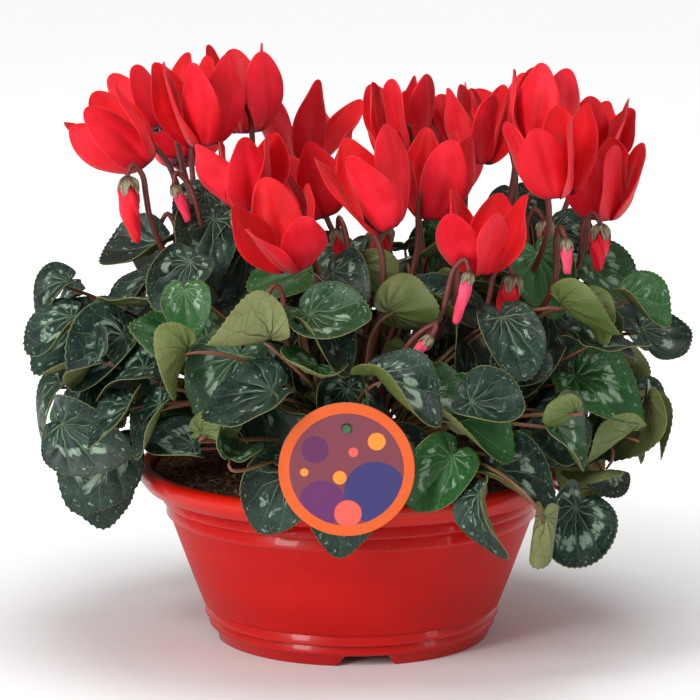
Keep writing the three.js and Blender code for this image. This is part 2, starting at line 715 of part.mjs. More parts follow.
const BUD_ROWS = [
  [0, 0.62],
  [0.16, 0.86],
  [0.45, 1],
  [0.78, 0.62],
];
const BUD_TWIST = 0.5;

function budSolid(bud) {
  const sides = 5;
  const points = BUD_ROWS.flatMap(([t, w], row) =>
    Array.from({ length: sides }, (_, k) => {
      const a = (k / sides) * 2 * Math.PI + row * BUD_TWIST;
      const r = bud.radius * w;
      return along(bud.top, bud.down, t * bud.length, bud.side, r * Math.cos(a), bud.third, r * Math.sin(a));
    }),
  );
  const last = points.length;
  points.push(bud.top.clone(), along(bud.top, bud.down, bud.length));
  const faces = [];
  for (let k = 0; k < sides; k++) {
    const next = (k + 1) % sides;
    faces.push([next, k, last], [last - sides + k, last - sides + next, last + 1]);
    for (let row = 0; row + 1 < BUD_ROWS.length; row++) {
      const a = row * sides;
      faces.push([a + k, a + next, a + sides + next], [a + k, a + sides + next, a + sides + k]);
    }
  }
  return solidOf(points, faces);
}

function budThing(bud) {
  const blades = [];
  for (let t = 0.1; t < 1; t += 0.2) {
    blades.push(ball(along(bud.top, bud.down, t * bud.length), bud.radius * 0.9 + 1));
  }
  return { trunk: bud.stalk.trunk, blades, stems: stemBalls(bud.stalk.path, STEM_BALL) };
}

// A point moved along the line of sight by a step in depth.
function slide(p, step) {
  const k = (EYE_DISTANCE + p[1] + step) / (EYE_DISTANCE + p[1]);
  return vec(p[0] * k, p[1] + step, EYE_HEIGHT + (p[2] - EYE_HEIGHT) * k);
}

function firstClear(make, thingOf) {
  for (const step of FLOWER_SLIDES) {
    const made = make(step);
    const thing = thingOf(made);
    if (!isClear(thing)) continue;
    placed.push(thing);
    return made;
  }
  return null;
}

function placeFlowers() {
  const draw = drawer(FLOWER_SEED);
  const seeds = () => Math.floor(draw(1, 1e6));
  const blooms = BLOOMS.map(([plant, mouth, top, spread]) => {
    const seed = seeds();
    const make = (step) => makeBloom(plant, slide(mouth, step), slide(top, step), spread, drawer(seed));
    return firstClear(make, bloomThing);
  }).filter(Boolean);
  const buds = BUDS.map(([plant, top, tip, radius, colour]) => {
    const seed = seeds();
    const make = (step) => makeBud(plant, slide(top, step), slide(tip, step), radius, drawer(seed));
    const bud = firstClear(make, budThing);
    return bud && { ...bud, colour };
  }).filter(Boolean);
  return { blooms, buds };
}

function stalkNodes(flowers) {
  return PLANTS.map((plant) => {
    const own = flowers.filter((f) => f.stalk.trunk === "stalks_" + plant.name);
    const trunk = upright(TRUNK_RADIUS, SOCKET_FLOOR, STUB.top, plant.x, plant.y, STUB.sides);
    const stalks = own.flatMap((flower) => stalkSolids(flower.stalk));
    return meshOf("stalks_" + plant.name, join([trunk, ...stalks]), STALK_BROWN);
  });
}

// ---- Corms, soil and bowl ----
function cormShape(extra) {
  const r = CORM.radius + extra;
  const h = CORM.half + extra;
  const profile = [-90, -50, -15, 15, 50, 90].map((a) => {
    return [a % 90 ? r * Math.cos(rad(a)) : 0, CORM.z + h * Math.sin(rad(a))];
  });
  return lathe(profile, CORM.sides);
}

function cormNode(plant, stubs) {
  const low = SOCKET_FLOOR - FIT;
  const high = CORM.z + CORM.half + 2;
  let solid = cormShape(0).translate([plant.x, plant.y, 0]);
  solid = solid.subtract(upright(TRUNK_RADIUS + FIT, low, high, plant.x, plant.y, STUB.sides));
  for (const turn of stubs) {
    const { x, y } = stubPlace(plant, turn);
    solid = solid.subtract(upright(STUB.radius + FIT, low, high, x, y, STUB.sides));
  }
  return meshOf("corm_" + plant.name, solid, CORM_BROWN);
}

const WALL = [
  [88, 9.5],
  [91.9, 20.5],
  [112.9, 79],
  [118.4, 96.5],
  [125.4, 103],
];

function soilNode() {
  const inner = WALL.slice(0, -1).map(([r, z]) => [r - FIT - 0.3, z]);
  const top = [
    [122.4, 101],
    [96, SOIL_TOP],
    [50, SOIL_TOP + 1],
    [0, SOIL_TOP],
  ];
  inner[0][1] += FIT;
  let soil = lathe([[0, inner[0][1]], ...inner, ...top], POT_SIDES);
  for (const plant of PLANTS) soil = soil.subtract(cormShape(FIT).translate([plant.x, plant.y, 0]));
  soil = soil.subtract(pickShaft(FIT));
  return meshOf("soil", soil, SOIL_BROWN);
}

function potNode() {
  const outer = [
    [78, 0],
    [87, 0],
    [88.4, 7],
    [90.4, 8.4],
    [93, 13.5],
    [94, 20.5],
    [115.2, 79],
    [116.6, 80.6],
    [120.6, 95.4],
    [129.6, 97],
    [RIM_RADIUS, 104.5],
    [134, 109.5],
    [128.5, 111.4],
  ];
  const shape = [[0, 7], [77, 7], ...outer, ...WALL.slice().reverse(), [0, 9.5]];
  let pot = lathe(shape, POT_SIDES);
  const notch = new THREE.Shape(
    [
      [-NOTCH.bottom / 2, -1],
      [NOTCH.bottom / 2, -1],
      [NOTCH.top / 2, NOTCH.height],
      [-NOTCH.top / 2, NOTCH.height],
    ].map(([x, y]) => new THREE.Vector2(x, y)),
  );
  for (let k = 0; k < NOTCH.count; k++) {
    const cutter = new THREE.ExtrudeGeometry(notch, { depth: 24, bevelEnabled: false, steps: 1 });
    const turn = rad(NOTCH.firstTurn - 90 + (360 / NOTCH.count) * k);
    cutter.rotateX(Math.PI / 2).translate(0, 94, 0).rotateZ(turn);
    pot = pot.subtract(solidOfGeometry(cutter));
  }
  for (let k = 0; k < DRAIN.count; k++) {
    const a = rad(30 + (360 / DRAIN.count) * k);
    pot = pot.subtract(upright(DRAIN.radius, 5, 12, DRAIN.ring * Math.cos(a), DRAIN.ring * Math.sin(a), 6));
  }
  return meshOf("pot", pot, RED);
}

// ---- Tag ----
function pickShaft(extra) {
  const foot = at(PICK.foot);
  const head = at(PICK.head);
  const axis = head.clone().sub(foot);
  const wide = PICK.width + 2 * extra;
  const thick = PICK.thickness + 2 * extra;
  const shaft = new THREE.BoxGeometry(wide, thick, axis.length() + 2 * extra);
  shaft.rotateX(Math.atan2(-axis.y, axis.z));
  const middle = foot.clone().add(head).multiplyScalar(0.5);
  return solidOfGeometry(shaft.translate(middle.x, middle.y, middle.z));
}

// A short round pin along Y at the tag's hole.
function crossPin(radius, low, high) {
  const pin = new THREE.CylinderGeometry(radius, radius, high - low, 10);
  return solidOfGeometry(pin.translate(TAG.x, (low + high) / 2, TAG.holeZ));
}

function tagNodes() {
  const disc = new THREE.CylinderGeometry(TAG.radius, TAG.radius, TAG.thickness, 24);
  const card = solidOfGeometry(disc.translate(TAG.x, TAG.y, TAG.z));
  const punched = card.subtract(crossPin(TAG.hole, TAG.y - 3, TAG.y + 3));
  const peg = crossPin(PICK.peg, TAG.y - 2, TAG.y + 4);
  return [meshOf("tag_card", punched, CARD), meshOf("tag_pick", pickShaft(0).add(peg), PICK_GREEN)];
}

function bookTag() {
  const blades = [];
  const most = BLADE_STEP * Math.floor(TAG.radius / BLADE_STEP);
  for (let x = -most; x <= most; x += BLADE_STEP) {
    for (let z = -most; z <= most; z += BLADE_STEP) {
      if (Math.hypot(x, z) < TAG.radius) blades.push([TAG.x + x, TAG.y, TAG.z + z, BLADE_BALL]);
    }
  }
  const stems = stemBalls([at(PICK.foot), at(PICK.head)], BLADE_BALL);
  placed.push({ trunk: "tag", blades, stems });
}

// ---- Assembly ----
bookTag();
const { blooms, buds } = placeFlowers();
const leaves = placeLeaves();

const plantGroup = new THREE.Group();
for (const plant of PLANTS) {
  const turns = new Set(leaves.filter((leaf) => leaf.plant === plant).map((leaf) => leaf.stubTurn));
  plantGroup.add(cormNode(plant, [...turns]));
}
plantGroup.add(...stalkNodes([...blooms, ...buds]), ...leafSprays(leaves));
blooms.forEach((bloom, i) => {
  const solids = bloom.petals.map((petal) => petalSolid(bloom, petal));
  const name = "bloom_" + String(i + 1).padStart(2, "0");
  plantGroup.add(meshOf(name, join([tubeSolid(bloom), ...solids]), PETAL_RED));
});
buds.forEach((bud, i) => {
  const name = "bud_" + String(i + 1).padStart(2, "0");
  plantGroup.add(meshOf(name, budSolid(bud), bud.colour === "red" ? PETAL_RED : BUD_PINK));
});

const cyclamen = new THREE.Group();
cyclamen.add(potNode(), soilNode(), ...tagNodes(), plantGroup);

export default cyclamen;
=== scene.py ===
"""Potted cyclamen: three plants with red flowers and marbled leaves in a red bowl.

Lengths are millimetres until a mesh is made, and Blender's metres from there on.
The leaves, flowers and buds stand where the CAD part's rule puts them: this file
repeats that rule, with the same draws, and then gives each one its fine shape.
"""
import math

import bpy
import numpy as np
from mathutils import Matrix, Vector, noise


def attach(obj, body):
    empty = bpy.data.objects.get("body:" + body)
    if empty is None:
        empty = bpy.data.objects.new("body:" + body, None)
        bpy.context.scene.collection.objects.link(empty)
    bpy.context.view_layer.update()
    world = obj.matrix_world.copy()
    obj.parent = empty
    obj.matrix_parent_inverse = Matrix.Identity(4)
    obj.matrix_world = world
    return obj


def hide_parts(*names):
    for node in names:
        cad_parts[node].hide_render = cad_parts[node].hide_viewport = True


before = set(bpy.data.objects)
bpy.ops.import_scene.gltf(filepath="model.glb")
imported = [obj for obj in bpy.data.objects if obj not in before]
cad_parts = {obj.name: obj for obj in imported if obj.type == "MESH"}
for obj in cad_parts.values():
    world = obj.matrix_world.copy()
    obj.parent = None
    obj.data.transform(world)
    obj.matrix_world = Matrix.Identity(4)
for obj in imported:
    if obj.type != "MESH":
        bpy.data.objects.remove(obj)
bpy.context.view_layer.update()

MM = 0.001
TURN = 2 * math.pi
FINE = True

# ---- The part's own dimensions ----
RIM_RADIUS = 135
NOTCH = {"top": 26, "bottom": 36, "height": 6.6, "first_turn": -84, "count": 4}
DRAIN = {"radius": 5, "ring": 45, "count": 4, "first_turn": 30, "low": 5, "high": 12}
SOIL_TOP = 103
CORM = {"radius": 22, "half": 13, "z": 104}
STUB = {"radius": 5, "ring": 13, "top": 121, "slots": 8, "slot_ring": 3.2, "foot": 107}
TRUNK_RADIUS = 4.8  # of the crown that a plant's flower stalks grow from
ROOT_SINK = 1.4
PLANTS = {
    "left": {"x": -62, "y": 30, "stubs": 5, "turn": 154},
    "right": {"x": 62, "y": 30, "stubs": 5, "turn": 26},
    "front": {"x": 0, "y": -62, "stubs": 6, "turn": -90},
}
STALK_RING = 3
BLOOM_HOOK = {"reach": 10.4, "drop": 17, "calyx": 4.4}
BUD_HOOK = {"reach": 8.5, "drop": 11}
STALK_END = 2.4  # how far above its flower's seat a stalk ends
STALK_STEPS = [0, 0.4, 0.75]
PETIOLE_STEPS = [0, 0.3, 0.65, 1]
PETIOLE_SEAT = 4.5
LEAF_COUNT = 72
LEAF_WIDTH = 0.88
LEAF_LENGTHS = (39, 52)
MOST_SIDE = 208
MOST_DEPTH = 184
LOWEST_LEAF = 42
EYE_DISTANCE = 2000
EYE_HEIGHT = 545
TAG = {"radius": 39.8, "thickness": 1.2, "x": -3, "y": -156, "z": 138.5, "hole_z": 163, "hole": 3}
PICK = {"foot": [-3, -100, 66], "head": [-3, -153.6, 166]}

BLOOMS = [
    ["left", [-126, -24, 302], [-158, -30, 340], 12],
    ["left", [-122, 48, 315], [-134, 60, 352], 8],
    ["left", [-91, -8, 311], [-98, -8, 364], 7],
    ["left", [-66, 38, 314], [-69, 40, 365], 7],
    ["left", [-110, 92, 288], [-114, 116, 322], 9],
    ["left", [-61, -26, 275], [-68, -30, 318], 6],
    ["right", [-30, 80, 289], [-28, 92, 332], 20],
    ["front", [-33, -72, 246], [-44, -88, 286], 18],
    ["left", [-18, 6, 264], [-32, 12, 306], 12],
    ["front", [22, -88, 271], [-2, -92, 323], 11],
    ["front", [48, -42, 270], [49, -40, 323], 9],
    ["right", [34, 60, 298], [32, 66, 344], 8],
    ["right", [65, 88, 293], [61, 96, 336], 7],
    ["right", [78, 20, 297], [80, 18, 342], 7],
    ["right", [108, 66, 300], [98, 72, 342], 7],
    ["right", [113, 14, 308], [120, 16, 356], 7],
    ["right", [126, -38, 284], [119, -44, 331], 9],
    ["right", [151, 42, 292], [158, 48, 333], 8],
    ["right", [157, -6, 265], [156, -8, 312], 8],
    ["front", [74, -88, 245], [76, -94, 288], 16],
    ["right", [62, 128, 262], [60, 140, 304], 8],
]
BUDS = [
    ["left", [-137, -38, 292], [-131, -38, 254], 6.5, "red"],
    ["right", [120, -12, 262], [122, -14, 232], 6, "red"],
    ["front", [20, -35, 262], [14, -37, 231], 6.5, "red"],
    ["front", [-8, -52, 262], [-4, -56, 240], 5.5, "red"],
    ["right", [153, -32, 262], [151, -36, 236], 6, "red"],
    ["front", [96, -92, 240], [90, -94, 208], 6.5, "red"],
    ["front", [-51, -95, 228], [-52, -96, 204], 3.6, "pink"],
    ["left", [-109, -14, 284], [-101, -16, 264], 3.6, "pink"],
    ["left", [-118, -30, 262], [-118, -31, 249], 3, "pink"],
    ["left", [-48, -42, 300], [-51, -44, 276], 3.6, "pink"],
    ["front", [69, -112, 245], [61, -114, 217], 3.8, "pink"],
    ["front", [45, -128, 210], [33, -130, 198], 3.4, "pink"],
    ["right", [131, -45, 255], [132, -46, 236], 3.6, "pink"],
]
HAND_LEAVES = [
    [[-149, -62, 136], [-180, -72, 96], [-0.3, -1, 0.4]],
    [[-157, -38, 118], [-156, -46, 76], [-0.2, -1, 0.15]],
    [[-138, -60, 201], [-173, -82, 174], [-0.3, -0.6, 1]],
    [[-67, -116, 199], [-88, -140, 160], [-0.1, -0.9, 0.8]],
    [[-94, -112, 144], [-122, -118, 150], [-0.3, -0.9, 0.6]],
    [[-38, -141, 133], [-62, -150, 98], [-0.2, -1, 0.35]],
    [[90, -100, 220], [103, -126, 188], [0.2, -0.8, 0.8]],
    [[56, -128, 168], [96, -146, 153], [0.1, -0.7, 0.9]],
    [[86, -126, 132], [122, -140, 117], [0.3, -0.8, 0.8]],
    [[136, -88, 102], [112, -106, 64], [0.2, -1, 0.15]],
    [[74, -164, 126], [72, -182, 92], [-0.9, -0.5, 0.2]],
    [[112, -162, 112], [108, -170, 74], [0.3, 0.9, 0.1]],
    [[-100, -92, 234], [-98, -112, 212], [-0.2, -0.7, 0.9]],
    [[183, -4, 152], [214, -2, 128], [0.6, -0.2, 0.9]],
    [[-184, 2, 160], [-214, 0, 136], [-0.5, -0.3, 0.9]],
    [[-176, 22, 212], [-203, 24, 196], [-0.3, -0.4, 1]],
    [[160, 10, 204], [189, 4, 188], [0.3, -0.5, 1]],
    [[136, -72, 178], [178, -92, 162], [0.4, -0.7, 0.9]],
    [[22, 152, 138], [16, 188, 120], [0, 0.6, 0.8]],
]
MOUND = [[148, 110], [180, 124], [190, 150], [182, 183], [156, 212], [110, 232], [55, 243], [0, 246]]
MOUND_DEPTH = 0.9
# How low balls may come: over the soil within the inner radius, and over the rim outside it.
NEAR_POT = {"inner": 119, "outer": RIM_RADIUS + 4, "rim": 115.5, "soil": 107.5}
MOUND_MIDDLE = [0, 0, 130]
GAP = {"left": -132, "right": -66, "front": -40, "low": 99, "high": 136}
LAYER_STEP = 26
INNER_SHARE = 0.36
LEAF_CENTRE = 0.38
HOPEFULS = 16  # how many leaves are drawn for each place in the mound
LEAF_SEED = 20261
LEAF_ROUNDS = 400
FLOWER_SEED = 777
LEAF_SLIDES = [0, 4, -4, 8, -8, 12, -12, 16, -16, 22, -22, 28, -28]
FLOWER_SLIDES = [0, 7, -7, 14, -14, 21, -21, 28, -28, 36, -36, 44, -44, 54, -54]
BLADE_BALL = 2.6
BLADE_STEP = 6
STEM_BALL = 1.9
STEM_STEP = 4
PETAL_BALL = 2.3
SHARED_BALLS = 7
PETAL_TURNS = [54, 117, 180, 243, 306]
TUBE_LENGTH = 8

# ---- Fine shapes, which only the render has ----
UNDER_LEAVES = 150  # leaves that fill the mound between those of the part
UNDER_SEED = 4242
UNDER_ROUNDS = 900
UNDER_DEPTH = (-4, 62)  # how deep they lie under the mound's outline
UNDER_SHORTER = (0, 9)
UNDERSIDE_SHARE = 0.22  # how many of them show their pale underside
UNDER_BALL = 1.3
UNDER_STEP = 4
FURTHER_LEAVES = [  # by the tag, undersides that show, and those right under the flowers
    [[-4, -142, 124], [-7, -158, 89], [0, -1, 0.2]],
    [[59, -136, 142], [34, -146, 111], [0.1, -1, 0.3]],
    [[-47, -150, 215], [-86, -158, 217], [0.1, 0.6, 0.8]],
    [[-96, -131, 206], [-118, -141, 182], [-0.5, 0.6, 0.7]],
    [[-88, -138, 157], [-62, -146, 155], [0, 0.85, 0.5]],
    [[125, -90, 226], [151, -104, 200], [0.4, 0.5, 0.8]],
    [[142, -70, 222], [163, -80, 202], [0.3, 0.8, 0.6]],
    [[-172, -30, 208], [-200, -44, 188], [-0.5, -0.6, 0.9]],
    [[-178, -6, 226], [-206, -14, 214], [-0.3, -0.5, 1]],
    [[182, -6, 196], [205, -20, 170], [0.6, -0.6, 0.8]],
    [[168, -40, 222], [196, -52, 208], [0.4, -0.4, 1]],
    [[131, -144, 171], [113, -150, 163], [0.1, 0.85, 0.5]],
    [[-84, -18, 266], [-90, -50, 236], [-0.1, -0.8, 0.7]],
    [[-93, 46, 274], [-98, 24, 244], [0, -1, 0.5]],
    [[-120, -8, 250], [-156, -24, 234], [-0.4, -0.7, 1]],
    [[-98, -54, 246], [-118, -78, 222], [-0.2, -0.9, 0.7]],
    [[-62, -48, 252], [-88, -64, 220], [0.1, -0.9, 0.6]],
    [[-128, -40, 230], [-166, -62, 214], [-0.3, -0.6, 1]],
    [[-73, 32, 262], [-76, 8, 234], [0, -1, 0.5]],
    [[126, 12, 256], [136, -10, 222], [0.3, -0.9, 0.5]],
    [[146, -8, 240], [176, -24, 214], [0.5, -0.6, 0.9]],
    [[114, -30, 248], [126, -54, 216], [0.1, -0.9, 0.6]],
    [[98, 2, 252], [102, -16, 222], [0, -1, 0.5]],
    [[105, 62, 270], [110, 46, 238], [0.1, -1, 0.4]],
]
FURLED_LEAF = 11  # the place in HAND_LEAVES of the one that hangs rolled up at the right
FURLED_ROLLS = 5.4, 4.8, 0.3  # how much its sides and its tip roll up
FURLED_SHARE = 0.8  # how long it is beside the part's
CUPPED = 0.8  # how much more the sides curl of a leaf whose underside faces out
LOOK_SEED = 90  # of the leaves' curls, ripples and tones
PETAL_SEED, BUD_SEED = 400, 600  # to which each flower's or bud's number is added
CRUMB_SEED = 55
CRUMB_COUNT, FIBRE_COUNT = (900, 260) if FINE else (200, 60)
CRUMB_REACH, FIBRE_REACH = 122.5, 122  # how far from the bowl's middle they may lie
TAG_LEAF = LEAF_COUNT  # the place of the flat one behind the tag, the first of FURTHER_LEAVES
LEAF_RINGS = [0.12, 0.26, 0.4, 0.54, 0.67, 0.79, 0.89, 0.96, 1.0]
LEAF_SIDES = 168 if FINE else 56
LEAF_TEETH = 56
TOOTH_DEPTH = 0.026
BLADE_THICKNESS = 0.5
PUCKER = 0.028  # how far a blade swells between its veins, in shares of its length
PETAL_THICKNESS = 0.45
PETAL_CLOSES = 0.72  # where a petal starts to close towards its tip
TIP_GAP = 0.0002  # how far its last row stays from the tip, where it has no width
THROAT = [  # radius and height of a flower's mouth, from its inside to its outside
    (0, 6.6), (3.2, 5), (3.7, 2), (3.9, -0.3), (4.5, -0.5), (4.9, 0.6), (4.9, 3), (4.3, 6), (3.4, 8), (0, 8),
]
SOIL_EDGE = 124.6  # the soil's radius where it meets the bowl
SOIL_WALL = [(0, 12), (88, 12), (91, 21), (112, 79), (117.4, 96.2), (123.6, 102.2)]
SOIL_STATIONS = [0, 50, 96, SOIL_EDGE]  # radii, and the soil's level at each
SOIL_LEVELS = [SOIL_TOP, SOIL_TOP + 1, SOIL_TOP + 1.4, SOIL_TOP + 3]
PETAL_BREADTH = 0.88  # how broad the fine petals are beside the width drawn for them
PETAL_FULLNESS = 0.42  # how much broader they are towards the middle
BUD_CALYX = 1.4  # how much larger the calyx of a fine bud is than the part's
BUD_STATIONS = [0, 0.08, 0.22, 0.45, 0.7, 0.86, 0.96, 1]  # places down a bud, and its girth there
BUD_GIRTHS = {
    "red": [0.66, 0.86, 1, 0.94, 0.7, 0.5, 0.34, 0.02],
    "pink": [0.7, 0.92, 1, 0.9, 0.76, 0.66, 0.54, 0.02],
}
VEINS = [0, 0.45, 0.95, 1.5, 2.15]  # turns of the main veins from the leaf's tip
CARD_DISCS = [  # centre and radius, in shares of the card's radius, and colour
    ((0.42, -0.34), 0.46, (52, 48, 104)),
    ((-0.36, -0.5), 0.34, (96, 36, 92)),
    ((0.02, -0.66), 0.2, (232, 88, 76)),
    ((-0.46, 0.3), 0.2, (92, 34, 84)),
    ((0.44, 0.42), 0.13, (240, 138, 44)),
    ((-0.1, -0.12), 0.1, (240, 138, 44)),
    ((0.1, 0.26), 0.07, (232, 88, 76)),
    ((-0.62, -0.04), 0.06, (240, 138, 44)),
]

# ---- Stage, in metres ----
LIGHTS = {  # place, width, height and power
    "key": ((-1.4, -1.7, 1.15), 0.6, 1.7, 46),
    "fill": ((1.95, -0.95, 0.8), 0.4, 1.3, 5.5),
    "top": ((0.1, -0.2, 2.2), 1.2, 1.2, 22),
}
LIT_POINT = (0, 0, 0.2)
EYE, SEEN_POINT = (-0.001, -2.0, 0.5446), (-0.001, 0, 0.1809)
LENS, SENSOR = 166.5, 36
FLOOR_RADIUS = 9


# ---- Vectors ----
def vec(x, y, z):
    return np.array([x, y, z], float)


UP = vec(0, 0, 1)


def unit(v):
    return v / math.sqrt(v @ v)


def square_to(v, axis):
    """The part of v square to the axis, as a unit vector."""
    return unit(v - axis * (v @ axis))


def bezier(a, b, c, d, t):
    s = 1 - t
    return a * (s * s * s) + b * (3 * s * s * t) + c * (3 * s * t * t) + d * (t * t * t)


def along(curve, stations):
    return [bezier(*curve, t) for t in stations]


def combine(points, *terms):
    """Points moved by each distance along the vector that follows it."""
    for far, way in zip(terms[::2], terms[1::2]):
        points = points + np.outer(far, way)
    return points


def pairs(a, b):
    """Every pair of a value of a and one of b, as two flat arrays."""
    return [values.ravel() for values in np.meshgrid(a, b, indexing="ij")]


def ways(angles):
    return np.cos(angles), np.sin(angles)


def drawer(seed):
    """Numbers between two bounds by a fixed rule, the same as the CAD part's."""
    state = [seed]

    def draw(low, high):
        state[0] = state[0] * 16807 % 2147483647
        return low + (high - low) * state[0] / 2147483647

    return draw


# ---- Clearance: leaves, petals and stalks as clouds of balls that keep apart ----
class Clouds:
    """The balls of everything placed so far, blades and stems apart."""

    def __init__(self):
        self.blades = np.zeros((0, 4))
        self.stems = np.zeros((0, 4))
        self.trunks = np.zeros(0, int)
        self.names = {}

    def keep(self, thing):
        mark = self.names.setdefault(thing["trunk"], len(self.names))
        self.blades = np.vstack([self.blades, thing["blades"]])
        self.stems = np.vstack([self.stems, thing["stems"]])
        self.trunks = np.append(self.trunks, np.full(len(thing["stems"]), mark))

    def clear(self, thing):
        blades, stems = thing["blades"], thing["stems"]
        if touches_pot(blades) or touches_pot(stems[2:]):
            return False
        others = self.stems[self.trunks != self.names.get(thing["trunk"], -1)]
        return not (
            touch(blades, self.blades)
            or touch(blades, self.stems)
            or touch(stems, self.blades)
            or touch(stems[SHARED_BALLS:], self.stems)
            or touch(stems, others)
        )


def touch(a, b):
    if not len(a) or not len(b):
        return False
    low = (a[:, :3] - a[:, 3:]).min(0)
    high = (a[:, :3] + a[:, 3:]).max(0)
    near = b[((b[:, :3] + b[:, 3:] >= low) & (b[:, :3] - b[:, 3:] <= high)).all(1)]
    gaps = ((a[:, None, :3] - near[None, :, :3]) ** 2).sum(2)
    return bool((gaps < (a[:, None, 3] + near[None, :, 3]) ** 2).any())


def touches_pot(balls):
    r = np.hypot(balls[:, 0], balls[:, 1])
    z = balls[:, 2]
    inside = r <= NEAR_POT["inner"]
    rim = ~inside & (r < NEAR_POT["outer"])
    return bool(((z < NEAR_POT["rim"]) & (rim | (inside & (z < NEAR_POT["soil"])))).any())


def with_radius(points, radius):
    points = np.atleast_2d(points)
    return np.hstack([points, np.full((len(points), 1), float(radius))])


def stem_balls(path, radius):
    points = [path[0]]
    for a, b in zip(path, path[1:]):
        count = math.ceil(math.dist(a, b) / STEM_STEP)
        points += [a + (b - a) * (k / count) for k in range(1, count + 1)]
    return with_radius(np.array(points), radius)


# ---- Leaves, by the part's rule ----
def outline(angle):
    """Radius from the junction of a leaf of length 1: heart-shaped, tip at angle 0."""
    notch = np.sqrt(np.clip((math.pi - np.abs(angle)) / 0.5, 0.012, 1))
    return (0.57 + 0.31 * np.cos(angle) + 0.12 * np.exp(-((angle / 0.3) ** 2))) * notch


def lift(leaf, angle):
    fold = leaf["fold"] * np.cos(2 * angle)
    return leaf["droop"] - fold + leaf["wave"] * np.cos(3 * angle + leaf["phase"])


def leaf_points(leaf, share, angle):
    r = share * leaf["length"] * outline(angle)
    x, y, z = r * np.cos(angle), r * np.sin(angle) * LEAF_WIDTH, r * lift(leaf, angle)
    return combine(leaf["junction"], x, leaf["tip"], y, leaf["side"], z, leaf["face"])


def make_leaf(junction, end, look, draw):
    length = math.dist(end, junction)
    tip = unit(end - junction)
    face = square_to(look, tip)
    axes = {"tip": tip, "face": face, "side": np.cross(face, tip)}
    bends = {"droop": draw(-0.24, 0.08), "fold": draw(-0.04, 0.26)}
    waves = {"wave": draw(0.02, 0.1), "phase": draw(0, 6.28)}
    return {"junction": junction, "length": length, **axes, **bends, **waves}


def centre_of(leaf):
    return leaf["junction"] + leaf["tip"] * (LEAF_CENTRE * leaf["length"])


def choose_stub(leaf):
    """The plant whose third of the bowl the leaf is in, and its stub that looks that way."""
    x, y, _ = leaf["junction"]

    def off(a, b):
        return abs(((a - b) % 360 + 540) % 360 - 180)

    name = min(PLANTS, key=lambda n: off(math.degrees(math.atan2(y, x)), PLANTS[n]["turn"]))
    plant = PLANTS[name]
    own = math.degrees(math.atan2(y - plant["y"], x - plant["x"]))
    turns = [plant["turn"] + 360 / plant["stubs"] * k for k in range(plant["stubs"])]
    k = min(range(len(turns)), key=lambda i: off(own, turns[i]))
    return plant, math.radians(turns[k]), f"leaves_{name}_{k + 1}"


slots_taken = {}


def free_slot(trunk, turn):
    taken = slots_taken.get(trunk, [])
    count = STUB["slots"]
    wanted = (turn / TURN * count + count) % count

    def cost(slot):
        return abs((slot - wanted + count * 1.5) % count - count / 2) + 100 * taken.count(slot)

    return min(range(count), key=cost)


def beside(plant, ring, turn, z):
    """A point at a height, on a ring round a plant's middle."""
    return vec(plant["x"] + ring * math.cos(turn), plant["y"] + ring * math.sin(turn), z)


def add_petiole(leaf):
    """Gives a leaf its stalk, from a free place on the nearest stub, and its trunk's name."""
    plant, turn, trunk = choose_stub(leaf)
    middle = beside(plant, STUB["ring"], turn, STUB["top"] - ROOT_SINK)
    out = leaf["junction"] - middle
    span = math.sqrt(out @ out)
    flat = unit(vec(out[0], out[1], 0))
    slot = free_slot(trunk, math.atan2(out[1], out[0]))
    spread = vec(*ways(slot / STUB["slots"] * TURN), 0)
    foot = middle + spread * STUB["slot_ring"]
    rise = min(1, max(0, out[2] / span))
    first = foot + flat * (span * (0.26 - 0.2 * rise)) + spread * 5 + UP * (span * (0.2 + 0.18 * rise) + 8)
    end = leaf["junction"] + leaf["tip"] * PETIOLE_SEAT + leaf["face"] * (PETIOLE_SEAT * lift(leaf, 0))
    second = end - leaf["tip"] * (0.2 * span) - leaf["face"] * (0.2 * span)
    curve = foot, first, second, end
    leaf.update(trunk=trunk, slot=slot, curve=curve, path=along(curve, PETIOLE_STEPS))


def blade_cloud(leaf, step, radius):
    reach = math.ceil(leaf["length"] * 1.05 / step)
    i, j = pairs(np.arange(-reach, reach + 1), np.arange(-reach, reach + 1))
    x = i * float(step)
    y = j * float(step) / LEAF_WIDTH
    angle = np.arctan2(y, x)
    share = np.hypot(x, y) / (leaf["length"] * outline(angle))
    inner = share < 0.93
    rim = (np.arange(24) + 0.5) / 24 * TURN - math.pi
    points = [leaf_points(leaf, share[inner], angle[inner]), leaf_points(leaf, 0.97, rim)]
    return with_radius(np.vstack(points), radius)


def leaf_thing(leaf):
    stems = stem_balls(leaf["path"], STEM_BALL)[:-2]
    return {"trunk": leaf["trunk"], "blades": blade_cloud(leaf, BLADE_STEP, BLADE_BALL), "stems": stems}


def in_bounds(balls):
    """Within the plant's reach, and clear of the gap where the soil shows."""
    x, y, z, _ = balls.T
    reach = np.abs(x).max() < MOST_SIDE and np.abs(y).max() < MOST_DEPTH and z.min() > LOWEST_LEAF
    across, up = (x > GAP["left"]) & (x < GAP["right"]), (z > GAP["low"]) & (z < GAP["high"])
    return reach and not (across & up & (y < GAP["front"])).any()


def hides_tag(balls):
    """Whether some of the balls stand between the front view's eye and the tag."""
    x, y, z, _ = balls.T
    k = (EYE_DISTANCE + TAG["y"]) / (EYE_DISTANCE + y)
    away = np.hypot(x * k - TAG["x"], EYE_HEIGHT + (z - EYE_HEIGHT) * k - TAG["z"])
    return bool(((y <= TAG["y"]) & (away < TAG["radius"] + 2)).any())


